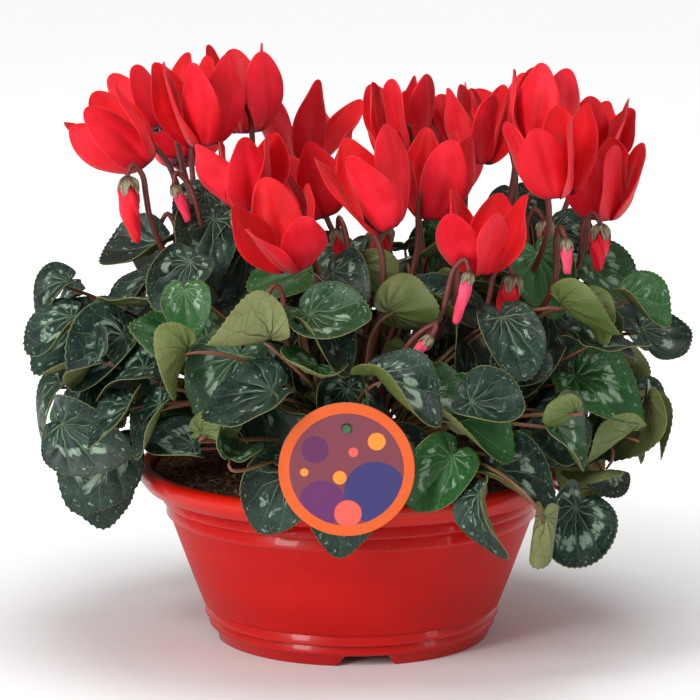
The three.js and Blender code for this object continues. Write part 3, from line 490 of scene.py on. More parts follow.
def mound_point(share, turn, inward):
    last = len(MOUND) - 1
    k = min(last - 1, math.floor(share * last))
    part = share * last - k
    (r0, z0), (r1, z1) = MOUND[k], MOUND[k + 1]
    slope = math.hypot(r1 - r0, z1 - z0)
    outward, upward = (z1 - z0) / slope, (r0 - r1) / slope
    r = r0 + (r1 - r0) * part - inward * outward
    z = z0 + (z1 - z0) * part - inward * upward
    c, s = math.cos(turn), math.sin(turn) * MOUND_DEPTH
    down = unit(vec(upward * c, upward * s, -outward))
    normal = vec(outward * c, outward * s, upward)
    return {"centre": vec(r * c, r * s, z), "normal": normal, "down": down, "weight": r}


def draw_leaf(draw, inward):
    """A leaf of the mound: inward tells how deep under its outline it lies."""
    depth, shorter, tipped = inward(draw)
    spot = mound_point(draw(0, 1), draw(0, TURN), depth)
    if draw(0, 175) > spot["weight"]:
        return None
    length = draw(*LEAF_LENGTHS) - shorter
    turn = draw(-1.3, 1.3)
    sway = vec(draw(-0.55, 0.55), draw(-0.55, 0.55), draw(-0.3, 0.3))
    look = unit((UP * 0.85 - spot["normal"] * 0.7 if tipped else spot["normal"] + UP * 0.35) + sway)
    down = square_to(spot["down"], look)
    tip = down * math.cos(turn) + np.cross(look, down) * math.sin(turn)
    junction = spot["centre"] - tip * (LEAF_CENTRE * length)
    return make_leaf(junction, junction + tip * length, look, draw), spot["centre"]


def part_layer(draw):
    inner = draw(0, 1) < INNER_SHARE
    return (LAYER_STEP, 5, False) if inner else (0, 0, False)


def roomiest(draw, centres, inward):
    """Some leaves by the rule, those furthest from the others first."""
    hopefuls = []
    while len(hopefuls) < HOPEFULS:
        found = draw_leaf(draw, inward)
        if found:
            room = np.sqrt(((np.array(centres) - found[1]) ** 2).sum(1)).min()
            hopefuls.append((room, *found))
    return sorted(hopefuls, key=lambda h: -h[0])


def slid(row, draw):
    """A leaf of a table, at each of the steps in depth that it may be moved by."""
    junction, tip, look = (vec(*values) for values in row)
    start = make_leaf(junction, tip, unit(look), draw)
    for depth in LEAF_SLIDES:
        yield {**start, "junction": junction + vec(0, depth, 0)}


def fill(leaves, count, rounds, draw, centres, inward, placed):
    """Drawn leaves, where there is most room, until there are enough."""
    for _ in range(rounds):
        if len(leaves) == count:
            break
        any(placed(leaf, centre) for _, leaf, centre in roomiest(draw, centres, inward))


def place_leaves(clouds):
    """The part's own leaves: those of the table, and then drawn ones."""
    draw = drawer(LEAF_SEED)
    leaves, centres = [], []

    def placed(leaf, centre, drawn=True):
        add_petiole(leaf)
        thing = leaf_thing(leaf)
        blades = thing["blades"]
        if (drawn and not in_bounds(blades)) or hides_tag(blades) or not clouds.clear(thing):
            return False
        leaves.append(leaf)
        slots_taken.setdefault(leaf["trunk"], []).append(leaf["slot"])
        centres.append(centre)
        clouds.keep(thing)
        return True

    for row in HAND_LEAVES:
        any(placed(leaf, centre_of(leaf), False) for leaf in slid(row, draw))
    fill(leaves, LEAF_COUNT, LEAF_ROUNDS, draw, centres, part_layer, placed)
    return leaves, centres


def under_layer(draw):
    """Depth, how much shorter the leaf is, and whether its pale underside faces out."""
    return draw(*UNDER_DEPTH), draw(*UNDER_SHORTER), draw(0, 1) < UNDERSIDE_SHARE


def place_under_leaves(leaves, centres, petals):
    """More leaves in the gaps, closer together than the part's, which cross no blade."""
    draw = drawer(UNDER_SEED)
    blades = np.vstack([blade_cloud(leaf, UNDER_STEP, UNDER_BALL) for leaf in leaves] + [petals])
    centres = list(centres)
    more = []

    def placed(leaf, centre):
        nonlocal blades
        cloud = blade_cloud(leaf, UNDER_STEP, UNDER_BALL)
        free = in_bounds(cloud) and not hides_tag(cloud) and not touches_pot(cloud)
        if not free or touch(cloud, blades):
            return False
        add_petiole(leaf)
        blades = np.vstack([blades, cloud])
        centres.append(centre)
        more.append(leaf)
        return True

    for row in FURTHER_LEAVES:
        any(placed(leaf, leaf["junction"]) for leaf in slid(row, draw))
    fill(more, UNDER_LEAVES, UNDER_ROUNDS, draw, centres, under_layer, placed)
    return more


# ---- Flowers and buds, by the part's rule ----
def slide(p, step):
    """A point moved along the line of sight by a step in depth."""
    k = (EYE_DISTANCE + p[1] + step) / (EYE_DISTANCE + p[1])
    return vec(p[0] * k, p[1] + step, EYE_HEIGHT + (p[2] - EYE_HEIGHT) * k)


def make_stalk(name, seat, down, reach, drop, draw):
    """A stalk that rises from its plant and hooks over, to hold a flower or bud from above."""
    plant = PLANTS[name]
    turn = math.atan2(seat[1] - plant["y"], seat[0] - plant["x"]) + draw(-0.3, 0.3)
    foot = beside(plant, STALK_RING, turn, STUB["top"] - ROOT_SINK)
    off = (seat - foot) * vec(1, 1, 0)
    side = square_to(vec(0.3, -1, 0) * 20 - off, down)
    bend = [
        seat + side * reach + down * drop,
        seat + side * reach - down * 1.5,
        seat + side * (reach * 0.5) - down * 9.5,
        seat - down * STALK_END,
    ]
    span = math.dist(bend[0], foot)
    first = foot + UP * (span * 0.42) + off * 0.12
    second = bend[0] - unit(UP * 0.8 - down) * (0.28 * span)
    curve = (foot, first, second, bend[0])
    path = along(curve, STALK_STEPS) + bend
    return {"side": side, "down": down, "path": path, "curve": curve, "bend": bend, "trunk": "stalks_" + name}


def make_bloom(name, mouth, top, spread, draw):
    """A flower whose five petals sweep up from its mouth, twisted one way."""
    height = math.dist(top, mouth) * 1.04
    axis = unit(top - mouth)
    seat = mouth + axis * TUBE_LENGTH
    stalk = make_stalk(name, seat, -axis, BLOOM_HOOK["reach"], BLOOM_HOOK["drop"], draw)
    stalk["calyx"] = BLOOM_HOOK["calyx"]
    hand = -1 if draw(0, 1) < 0.5 else 1
    petals = [
        {
            "turn": math.radians(turn + draw(-5, 5)),
            "height": height * draw(0.9, 1.04),
            "spread": spread * draw(0.7, 1.3),
            "width": draw(11, 12.8),
            "twist": hand * draw(0.48, 0.62),
        }
        for turn in PETAL_TURNS
    ]
    axes = {"axis": axis, "side": stalk["side"], "third": np.cross(axis, stalk["side"])}
    return {"mouth": mouth, "stalk": stalk, "petals": petals, **axes}


def petal_width(u):
    end = np.maximum(0, (u - 0.6) / 0.4)
    return np.minimum(1, 0.1 + 1.65 * u) * np.sqrt(np.maximum(0, 1 - end**2.4))


def petal_frame(bloom, petal, u):
    """The petal's outward way, and across it at each u, turned by the petal's twist."""
    out = bloom["side"] * math.cos(petal["turn"]) + bloom["third"] * math.sin(petal["turn"])
    across = np.cross(bloom["axis"], out)
    twist = petal["twist"] * np.minimum(1, 0.2 + 1.4 * u)
    wide = np.outer(np.cos(twist), across) + np.outer(np.sin(twist), out)
    return out, wide


def petal_points(bloom, petal, u, v, width):
    """Points of a petal: u from the mouth to the tip, v across it from -1 to 1."""
    s = 1 - u
    r0, r1, r2, r3 = 4.2, 14, 17 + 0.4 * petal["spread"], 12 + petal["spread"]
    r = s * s * s * r0 + 3 * s * s * u * r1 + 3 * s * u * u * r2 + u * u * u * r3
    z = -3 * s * s * u * 5 + 3 * s * u * u * 0.55 * petal["height"] + u * u * u * petal["height"]
    out, wide = petal_frame(bloom, petal, u)
    across = (petal["width"] * width * v)[:, None] * wide
    return combine(bloom["mouth"], r - 3 * u * v * v, out, z, bloom["axis"]) + across


def bloom_thing(bloom):
    u, v = pairs([0.12, 0.24, 0.36, 0.48, 0.6, 0.72, 0.84, 0.96], [-0.9, -0.45, 0, 0.45, 0.9])
    blades = np.vstack([petal_points(bloom, petal, u, v, petal_width(u)) for petal in bloom["petals"]])
    stems = stem_balls(bloom["stalk"]["path"], STEM_BALL)
    return {"trunk": bloom["stalk"]["trunk"], "blades": with_radius(blades, PETAL_BALL), "stems": stems}


def make_bud(name, top, tip, radius, draw):
    down = unit(tip - top)
    stalk = make_stalk(name, top, down, BUD_HOOK["reach"] + radius * 0.5, BUD_HOOK["drop"], draw)
    stalk["calyx"] = max(2.6, radius * 0.72)
    axes = {"down": down, "side": stalk["side"], "third": np.cross(down, stalk["side"])}
    return {"top": top, "length": math.dist(tip, top), "radius": radius, "stalk": stalk, **axes}


def bud_thing(bud):
    steps, t = [], 0.1
    while t < 1:
        steps.append(t)
        t += 0.2
    middle = bud["top"] + np.outer(np.array(steps) * bud["length"], bud["down"])
    stems = stem_balls(bud["stalk"]["path"], STEM_BALL)
    blades = with_radius(middle, bud["radius"] * 0.9 + 1)
    return {"trunk": bud["stalk"]["trunk"], "blades": blades, "stems": stems}


def first_clear(clouds, make, thing_of):
    for step in FLOWER_SLIDES:
        made = make(step)
        thing = thing_of(made)
        if clouds.clear(thing):
            clouds.keep(thing)
            return made
    return None


def place_flowers(clouds):
    draw = drawer(FLOWER_SEED)
    blooms, buds = [], []
    for name, mouth, top, spread in BLOOMS:
        seed = math.floor(draw(1, 1e6))
        make = lambda step: make_bloom(name, slide(mouth, step), slide(top, step), spread, drawer(seed))
        blooms.append(first_clear(clouds, make, bloom_thing))
    for name, top, tip, radius, colour in BUDS:
        seed = math.floor(draw(1, 1e6))
        make = lambda step: make_bud(name, slide(top, step), slide(tip, step), radius, drawer(seed))
        bud = first_clear(clouds, make, bud_thing)
        if bud:
            buds.append({**bud, "colour": colour})
    return [bloom for bloom in blooms if bloom], buds


def book_tag(clouds):
    most = BLADE_STEP * math.floor(TAG["radius"] / BLADE_STEP)
    steps = range(-most, most + 1, BLADE_STEP)
    inside = [(x, z) for x in steps for z in steps if math.hypot(x, z) < TAG["radius"]]
    points = [vec(TAG["x"] + x, TAG["y"], TAG["z"] + z) for x, z in inside]
    stems = stem_balls([vec(*PICK["foot"]), vec(*PICK["head"])], BLADE_BALL)
    clouds.keep({"trunk": "tag", "blades": with_radius(np.array(points), BLADE_BALL), "stems": stems})


# ---- Meshes ----
def show(name, data):
    """A new object in the scene."""
    shown = bpy.data.objects.new(name, data)
    bpy.context.scene.collection.objects.link(shown)
    return shown


class Piece:
    """Points and faces, in millimetres, gathered into one named object."""

    def __init__(self, name, *materials):
        self.name = name
        self.materials = materials
        self.points, self.faces, self.slots, self.uvs, self.tones, self.shares = ([] for _ in range(6))
        self.count = 0

    def add(self, points, faces, slots=0, uv=None, tone=0.0, share=0.0):
        """Faces are rows of four indices; a triangle repeats its last one."""
        faces = np.asarray(faces, int)
        self.points.append(points)
        self.faces.append(faces + self.count)
        self.slots.append(np.broadcast_to(slots, len(faces)))
        self.uvs.append(np.zeros((len(points), 2)) if uv is None else uv)
        self.tones.append(np.broadcast_to(tone, len(points)))
        self.shares.append(np.broadcast_to(share, len(points)))
        self.count += len(points)

    def mesh(self):
        """The mesh, in metres, with its uv, its materials and two values at each point."""
        mesh = bpy.data.meshes.new(self.name)
        faces = [f[:3] if f[2] == f[3] else f for f in np.vstack(self.faces).tolist()]
        mesh.from_pydata((np.vstack(self.points) * MM).tolist(), [], faces)
        corners = np.zeros(len(mesh.loops), np.int32)
        mesh.loops.foreach_get("vertex_index", corners)
        mesh.uv_layers.new(name="pattern").data.foreach_set("uv", np.vstack(self.uvs)[corners].ravel())
        for name, values in (("tone", self.tones), ("share", self.shares)):
            values = np.concatenate(values).astype(np.float32)
            mesh.attributes.new(name, "FLOAT", "POINT").data.foreach_set("value", values)
        for material in self.materials:
            mesh.materials.append(material)
        mesh.polygons.foreach_set("material_index", np.concatenate(self.slots).astype(np.int32))
        mesh.polygons.foreach_set("use_smooth", np.ones(len(faces), bool))
        mesh.update()
        return mesh

    def make(self, slot, *nodes, holes=None):
        mesh = self.mesh()
        shown = show(self.name, carved(mesh, holes.mesh()) if holes else mesh)
        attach(shown, "root")
        if nodes:
            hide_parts(*nodes)
        return shown


def carved(mesh, holes):
    """The mesh without what lies inside the holes."""
    mesh.validate()
    whole, cutter = show("whole", mesh), show("cutter", holes)
    cut = whole.modifiers.new("cut", "BOOLEAN")
    cut.operation, cut.solver, cut.object = "DIFFERENCE", "EXACT", cutter
    made = bpy.data.meshes.new_from_object(whole.evaluated_get(bpy.context.evaluated_depsgraph_get()))
    for thing in (whole, cutter):
        bpy.data.objects.remove(thing)
    return made


def grid(rows, columns, closed=False, looped=False):
    """Quads of a grid of points. Closed joins its last column to its first, looped its rows."""
    i, j = pairs(np.arange(rows if looped else rows - 1), np.arange(columns if closed else columns - 1))
    here, below, after = i * columns, (i + 1) % rows * columns, (j + 1) % columns
    return np.stack([here + j, here + after, below + after, below + j], 1)


def fan(hub, loop):
    """Triangles from one point to each side of a loop of points."""
    after = np.roll(loop, -1)
    return np.stack([np.full(len(loop), hub), loop, after, after], 1)


def normals_of(points, faces):
    a, b, c, d = (points[corner] for corner in faces.T)
    cross = np.cross(c - a, d - b)
    normals = np.zeros_like(points)
    for corner in range(4):
        np.add.at(normals, faces[:, corner], cross)
    return normals / np.maximum(np.linalg.norm(normals, axis=1, keepdims=True), 1e-9)


def thick(points, faces, edge, thickness):
    """A closed sheet: its front as given, a back behind it, and a wall round the edge."""
    back = points - normals_of(points, faces) * thickness
    n = len(points)
    edge = np.asarray(edge)
    after = np.roll(edge, -1)
    wall = np.stack([after, edge, edge + n, after + n], 1)
    under = faces[:, ::-1] + n
    triangles = faces[:, 2] == faces[:, 3]
    under[triangles] = faces[triangles][:, [2, 1, 0, 0]] + n
    slots = np.repeat([0, 1, 2], [len(faces), len(faces), len(edge)])
    return np.vstack([points, back]), np.vstack([faces, under, wall]), slots


def border(rows, columns):
    """The points round a grid, in the order of its faces."""
    index = np.arange(rows * columns).reshape(rows, columns)
    return [*index[0], *index[1:, -1], *index[-1, -2::-1], *index[-2:0:-1, 0]]


def smooth_chain(points, per_span):
    """A Catmull-Rom curve through the points."""
    p = np.array([2 * points[0] - points[1], *points, 2 * points[-1] - points[-2]])
    curve = []
    for a, b, c, d in zip(p, p[1:], p[2:], p[3:]):
        square, cube = 2 * a - 5 * b + 4 * c - d, 3 * b - a - 3 * c + d
        for t in np.arange(per_span) / per_span:
            curve.append(0.5 * (2 * b + (c - a) * t + square * t**2 + cube * t**3))
    return np.array(curve + [points[-1]])


def tube(piece, path, radii, sides=9, slot=0, tone=0.0):
    """A round closed tube along the path; its uv runs round it and along it."""
    path = np.asarray(path)
    ahead = np.gradient(path, axis=0)
    ahead /= np.linalg.norm(ahead, axis=1, keepdims=True)
    side = square_to(vec(1, 0.2, 0) if abs(ahead[0][2]) > 0.5 else UP, ahead[0])
    a = np.arange(sides) / sides * TURN
    rings = []
    for p, forward, radius in zip(path, ahead, np.broadcast_to(radii, len(path))):
        side = square_to(side, forward)
        third = np.cross(forward, side)
        rings.append(combine(p, radius * np.cos(a), side, radius * np.sin(a), third))
    n, k = len(path) * sides, np.arange(sides)
    faces = np.vstack([grid(len(path), sides, True), fan(n, k[::-1]), fan(n + 1, n - sides + k)])
    uv = np.stack([np.tile(a / TURN, len(path)), np.repeat(np.linspace(0, 1, len(path)), sides)], 1)
    piece.add(np.vstack([*rings, path[0], path[-1]]), faces, slot, np.vstack([uv, [[0, 0], [0, 1]]]), tone)


def turned(piece, profile, sides, slot=0, shape=None):
    """A [radius, height] profile from axis to axis, turned about Z and then given its shape."""
    profile = np.asarray(profile, float)
    a = np.arange(sides) / sides * TURN
    r, angle = pairs(profile[:, 0], a)
    points = np.stack([r * np.cos(angle), r * np.sin(angle), np.repeat(profile[:, 1], sides)], 1)
    uv = np.stack([np.tile(a / TURN, len(profile)), np.repeat(profile[:, 1] / 100, sides)], 1)
    piece.add(shape(points), grid(len(profile), sides, True), slot, uv)


# ---- Nodes of the materials ----
def add(tree, kind, inputs=None, **settings):
    """A new node; inputs maps sockets to values or to the sockets that feed them."""
    node = tree.nodes.new(kind)
    for key, value in settings.items():
        setattr(node, key, value)
    for key, value in (inputs or {}).items():
        if isinstance(value, bpy.types.NodeSocket):
            tree.links.new(value, node.inputs[key])
        else:
            node.inputs[key].default_value = value
    return node


def calc(tree, operation, *terms):
    return add(tree, "ShaderNodeMath", dict(enumerate(terms)), operation=operation).outputs[0]


def step(tree, value, low, high):
    ranges = {"Value": value, "From Min": low, "From Max": high}
    return add(tree, "ShaderNodeMapRange", ranges, interpolation_type="SMOOTHSTEP").outputs[0]


def scaled(tree, value, factor, shift):
    return calc(tree, "MULTIPLY_ADD", value, factor, shift)


def product(tree, first, *others):
    for other in others:
        first = calc(tree, "MULTIPLY", first, other)
    return first


def inverse(tree, mask):
    return calc(tree, "SUBTRACT", 1, mask)


def band(tree, value, rise, fall):
    """A mask that rises between the first two values and falls between the others."""
    return product(tree, step(tree, value, *rise), inverse(tree, step(tree, value, *fall)))


def from_middle(tree, x, y):
    """How far a point is from where x and y are 0."""
    return calc(tree, "SQRT", calc(tree, "ADD", product(tree, x, x), product(tree, y, y)))


def vector(tree, operation, inputs):
    return add(tree, "ShaderNodeVectorMath", inputs, operation=operation).outputs[0]


def parts_of(tree, where):
    return add(tree, "ShaderNodeSeparateXYZ", {0: where}).outputs


def combined(tree, **parts):
    return add(tree, "ShaderNodeCombineXYZ", parts).outputs[0]


def blend(tree, share, a, b):
    return add(tree, "ShaderNodeMix", {0: share, 6: a, 7: b}, data_type="RGBA").outputs[2]


def tint(tree, colour, mask, strength, other):
    """The colour with another one laid over it where the mask is, up to a strength."""
    return blend(tree, product(tree, mask, strength), colour, other)


def grain(tree, where, scale, detail=2.0, roughness=0.5, distortion=0.0):
    inputs = {"Vector": where, "Scale": scale, "Detail": detail, "Roughness": roughness}
    return add(tree, "ShaderNodeTexNoise", {**inputs, "Distortion": distortion}).outputs[0]


def stretched(tree, where, scale):
    return add(tree, "ShaderNodeMapping", {"Vector": where, "Scale": scale}).outputs[0]


def rgb(r, g, b):
    """A colour given as 0 to 255 on screen, as the linear values that sockets take."""

    def linear(c):
        c /= 255
        return c / 12.92 if c <= 0.04045 else ((c + 0.055) / 1.055) ** 2.4

    return (linear(r), linear(g), linear(b), 1.0)


def material(name, specular=0.5, **sockets):
    """A new material, its node tree and its shader, with even values set on the shader."""
    made = bpy.data.materials.new(name)
    made.use_nodes = True
    tree = made.node_tree
    tree.nodes.clear()
    shader = add(tree, "ShaderNodeBsdfPrincipled", {"Specular IOR Level": specular, **sockets})
    out = add(tree, "ShaderNodeOutputMaterial")
    tree.links.new(shader.outputs[0], out.inputs["Surface"])
    return made, tree, shader


def finish_material(tree, shader, colour, roughness=None, height=None, strength=0.3, distance=0.0004):
    """Feeds the shader its colour and, where given, its roughness and a bump from a height."""
    tree.links.new(colour, shader.inputs["Base Color"])
    if roughness is not None:
        tree.links.new(roughness, shader.inputs["Roughness"])
    if height is not None:
        bump = add(tree, "ShaderNodeBump", {"Height": height, "Strength": strength, "Distance": distance})
        tree.links.new(bump.outputs[0], shader.inputs["Normal"])


def coordinates(tree, kind="Object"):
    return add(tree, "ShaderNodeTexCoord").outputs[kind]


def tone_of(tree):
    return add(tree, "ShaderNodeAttribute", attribute_name="tone").outputs["Fac"]


def effect(name, inputs, outputs):
    """A new node group with named sockets, and the sockets that bring its inputs."""
    group = bpy.data.node_groups.new(name, "ShaderNodeTree")
    for way, sockets in (("INPUT", inputs), ("OUTPUT", outputs)):
        for socket, kind in sockets.items():
            group.interface.new_socket(socket, in_out=way, socket_type="NodeSocket" + kind)
    return group, add(group, "NodeGroupInput").outputs


def put_out(group, *values):
    out = add(group, "NodeGroupOutput")
    for k, value in enumerate(values):
        group.links.new(value, out.inputs[k])
    return group


def placed_effect(tree, group, **inputs):
    """The outputs of an effect placed in a material with its own values."""
    return add(tree, "ShaderNodeGroup", inputs, node_tree=group).outputs


def mottle_group():
    """Two mottled colours, and the grain they follow."""
    group, given = effect(
        "mottle",
        {"Low": "Color", "High": "Color", "Scale": "Float", "Detail": "Float"},
        {"Colour": "Color", "Grain": "Float"},
    )
    spots = grain(group, coordinates(group), given["Scale"], given["Detail"], 0.6)
    colour = blend(group, step(group, spots, 0.35, 0.68), given["Low"], given["High"])
    return put_out(group, colour, spots)


def streak_group():
    """Fine streaks along a stalk in two colours, and a flush of a third towards its top."""
    group, given = effect(
        "stalk_streaks",
        {"Low": "Color", "High": "Color", "Flush": "Color"},
        {"Colour": "Color", "Streaks": "Float"},
    )
    up = parts_of(group, coordinates(group, "UV"))[1]
    streaks = grain(group, stretched(group, coordinates(group), (6, 6, 1)), 160, 3.0)
    colour = blend(group, streaks, given["Low"], given["High"])
    flush = step(group, scaled(group, streaks, 0.5, up), 0.5, 1.3)
    return put_out(group, blend(group, flush, colour, given["Flush"]), streaks)


def petal_group():
    """Fine lines along a petal, painted sheen as a paler rim, and, where Foot is 1, painted shade towards the
    foot with a dark throat colour at it.
    """
    colours = dict.fromkeys(("Lit", "Deep", "Edge", "Throat"), "Color")
    group, given = effect("petal_veins", {**colours, "Foot": "Float"}, {"Colour": "Color", "Lines": "Float"})
    where = coordinates(group, "UV")
    across, up, _ = parts_of(group, where)
    lines = grain(group, stretched(group, where, (34, 3, 1)), 1.0, 3.0, 0.6)
    clouded = scaled(group, lines, 0.4, grain(group, coordinates(group), 45, 2.0))
    colour = blend(group, step(group, clouded, 0.5, 0.9), given["Deep"], given["Lit"])
    colour = tint(group, colour, tone_of(group), 0.5, given["Deep"])
    away = calc(group, "ABSOLUTE", calc(group, "SUBTRACT", across, 0.5))
    # painted sheen: a paler rim along the petal's edges
    colour = tint(group, colour, step(group, away, 0.46, 0.5), 0.18, given["Edge"])
    # painted shade: the petal darkens to deep crimson towards its foot
    shade = step(group, scaled(group, lines, 0.2, up), 0.5, 0.12)
    colour = tint(group, colour, product(group, shade, 0.55), given["Foot"], rgb(140, 0, 22))
    foot = step(group, scaled(group, lines, 0.12, up), 0.31, 0.17)
    return put_out(group, tint(group, colour, foot, given["Foot"], given["Throat"]), lines)


def leaf_group():
    """Masks of a leaf from its uv, which runs from the junction to 1 at the tip."""
    group, _ = effect("leaf_masks", {}, dict.fromkeys(("Veins", "Net", "Blotch", "Rim"), "Float"))
    where = coordinates(group, "UV")
    tone = tone_of(group)
    offset = combined(group, X=product(group, tone, 37), Y=product(group, tone, 91))
    own = {"Vector": vector(group, "ADD", {0: where, 1: offset}), "Scale": 3.5, "Detail": 2.0}
    warp = add(group, "ShaderNodeTexNoise", own).outputs[1]
    warp = vector(group, "SUBTRACT", {0: warp, 1: (0.5, 0.5, 0.5)})
    bent = vector(group, "ADD", {0: where, 1: vector(group, "SCALE", {0: warp, 3: 0.13})})
    share = add(group, "ShaderNodeAttribute", attribute_name="share").outputs["Fac"]
    x, y, _ = parts_of(group, bent)
    r = from_middle(group, x, y)
    whole_turn = calc(group, "ARCTAN2", y, x)
    turn = calc(group, "ABSOLUTE", whole_turn)
    turn = calc(group, "ADD", turn, product(group, r, calc(group, "SINE", turn), 0.3))
    near = None
    for vein in VEINS:
        half = product(group, calc(group, "SUBTRACT", turn, vein + 0.1 * math.sin(vein)), 0.5)
        away = product(group, calc(group, "ABSOLUTE", calc(group, "SINE", half)), 2)
        near = away if near is None else calc(group, "MINIMUM", near, away)
    away = product(group, near, r)
    width = scaled(group, r, -0.006, 0.0115)
    veins = inverse(group, step(group, away, product(group, width, 0.4), width))
    outwards = inverse(group, product(group, step(group, share, 0.3, 0.85), 0.7))
    inwards = scaled(group, step(group, share, 0.02, 0.3), 0.5, 0.5)
    veins = product(group, veins, outwards, inwards)
    cells = {"Vector": stretched(group, bent, (6.2, 7.4, 1)), "Scale": 1.0}
    cells = add(group, "ShaderNodeTexVoronoi", cells, feature="DISTANCE_TO_EDGE").outputs["Distance"]
    net = inverse(group, step(group, cells, 0.01, 0.06))
    polar = {"X": (whole_turn, 3.4), "Y": (share, 3.2), "Z": (tone, 61)}
    polar = combined(group, **{axis: product(group, *terms) for axis, terms in polar.items()})
    middle = product(group, band(group, share, (0.28, 0.5), (0.6, 0.84)), 0.34)
    spots = scaled(group, grain(group, polar, 1.0, 5.0, 0.62, 0.6), 0.95, middle)
    marked = scaled(group, calc(group, "FRACT", product(group, tone, 7.7)), 0.14, -0.105)
    spots = calc(group, "ADD", spots, marked)
    blotch = product(group, step(group, spots, 0.76, 0.86), step(group, away, 0.004, 0.03))
    dots = step(group, grain(group, polar, 5.2, 1.0, 0.5), 0.62, 0.7)
    dots = product(group, dots, band(group, share, (0.8, 0.86), (0.92, 0.96)), 0.8)
    rim = step(group, share, 0.982, 0.998)
    return put_out(group, veins, net, calc(group, "MAXIMUM", blotch, dots), rim)


def leaf_materials():
    """A leaf's marbled face, its pale underside and its thin edge."""
    masks = leaf_group()
    top, tree, shader = material("leaf_top", 0.3)
    leaf = placed_effect(tree, masks)
    mottle = grain(tree, coordinates(tree), 90, 3.0)
    base = blend(tree, step(tree, mottle, 0.35, 0.7), rgb(15, 33, 26), rgb(29, 54, 42))
    young = blend(tree, mottle, rgb(26, 68, 30), rgb(46, 96, 40))
    colour = blend(tree, step(tree, tone_of(tree), 0.8, 0.92), base, young)
    colour = tint(tree, colour, leaf["Blotch"], 0.8, rgb(140, 164, 142))
    colour = tint(tree, colour, leaf["Net"], 0.07, rgb(104, 140, 100))
    colour = tint(tree, colour, leaf["Veins"], 0.6, rgb(122, 148, 110))
    colour = tint(tree, colour, leaf["Rim"], 0.6, rgb(106, 110, 62))
    rough = scaled(tree, mottle, 0.25, 0.3)
    height = scaled(tree, leaf["Veins"], -0.8, product(tree, leaf["Net"], -0.5))
    finish_material(tree, shader, colour, rough, calc(tree, "ADD", height, mottle), 0.45, 0.0005)

    under, tree, shader = material("leaf_under", 0.35)
    leaf = placed_effect(tree, masks)
    blush = grain(tree, coordinates(tree), 22, 2.0)
    colour = blend(tree, step(tree, blush, 0.35, 0.7), rgb(74, 90, 38), rgb(104, 118, 62))
    pink = step(tree, scaled(tree, tone_of(tree), 0.5, blush), 0.7, 1.0)
    colour = tint(tree, colour, pink, 0.22, rgb(148, 128, 104))
    colour = tint(tree, colour, leaf["Veins"], 0.9, rgb(54, 50, 26))
    colour = tint(tree, colour, leaf["Net"], 0.35, rgb(66, 76, 36))
    rough = scaled(tree, blush, 0.2, 0.45)
    finish_material(tree, shader, colour, rough, leaf["Veins"], 0.5, 0.0006)

    edge, tree, shader = material("leaf_edge")
    mottle = grain(tree, coordinates(tree), 300, 2.0)
    finish_material(tree, shader, blend(tree, mottle, rgb(88, 82, 44), rgb(124, 126, 70)), mottle)
    return top, under, edge


def stem_material(name, low, high, flush):
    """A stalk in two colours, flushed with a third towards its top."""
    made, tree, shader = material(name, 0.4)
    stem = placed_effect(tree, STREAKS, Low=rgb(*low), High=rgb(*high), Flush=rgb(*flush))
    rough = scaled(tree, stem["Streaks"], 0.25, 0.35)
    finish_material(tree, shader, stem["Colour"], rough, stem["Streaks"], 0.25, 0.0004)
    return made


def calyx_material():
    """Pale lobes with long dark stripes, darker where they meet the stalk."""
    made, tree, shader = material("calyx", 0.3)
    where = coordinates(tree, "UV")
    stripes = grain(tree, stretched(tree, where, (46, 2.2, 1)), 1.0, 3.0, 0.6)
    up = parts_of(tree, where)[1]
    colour = blend(tree, step(tree, stripes, 0.36, 0.62), rgb(62, 36, 38), rgb(150, 146, 112))
    colour = blend(tree, step(tree, up, 0.3, 0.02), colour, rgb(74, 44, 40))
    rough = scaled(tree, stripes, 0.2, 0.4)
    finish_material(tree, shader, colour, rough, stripes, 0.3, 0.0004)
    return made


def petal_material(name, lit, deep, edge, throat=None):
    """Soft petals that let a little light through; a throat colour gives them a dark foot and turns on
    painted shade that darkens them towards it.
    """
    light = {"Subsurface Weight": 0.12, "Subsurface Radius": (1.0, 0.15, 0.12), "Subsurface Scale": 0.003}
    made, tree, shader = material(name, 0.22, **light, **{"Sheen Weight": 0.08})
    colours = {"Lit": rgb(*lit), "Deep": rgb(*deep), "Edge": rgb(*edge), "Throat": rgb(*(throat or deep))}
    petal = placed_effect(tree, PETAL_VEINS, **colours, Foot=1.0 if throat else 0.0)
    rough = scaled(tree, petal["Lines"], 0.2, 0.42)
    finish_material(tree, shader, petal["Colour"], rough, petal["Lines"], 0.35, 0.0005)
    return made


def speckled(name, low, high, scale, rough, detail=4.0, strength=0.3, distance=0.0004):
    """A surface of two mottled colours with a bump of the same grain."""
    made, tree, shader = material(name)
    mottled = placed_effect(tree, MOTTLE, Low=rgb(*low), High=rgb(*high), Scale=scale, Detail=detail)
    rough = scaled(tree, mottled["Grain"], 0.2, rough - 0.1)
    finish_material(tree, shader, mottled["Colour"], rough, mottled["Grain"], strength, distance)
    return made


def inside_disc(tree, x, z, centre, radius):
    """A mask of the card's points within a circle, in shares of its radius."""
    away = from_middle(tree, calc(tree, "SUBTRACT", x, centre[0]), calc(tree, "SUBTRACT", z, centre[1]))
    return inverse(tree, step(tree, away, radius - 0.008, radius + 0.008))


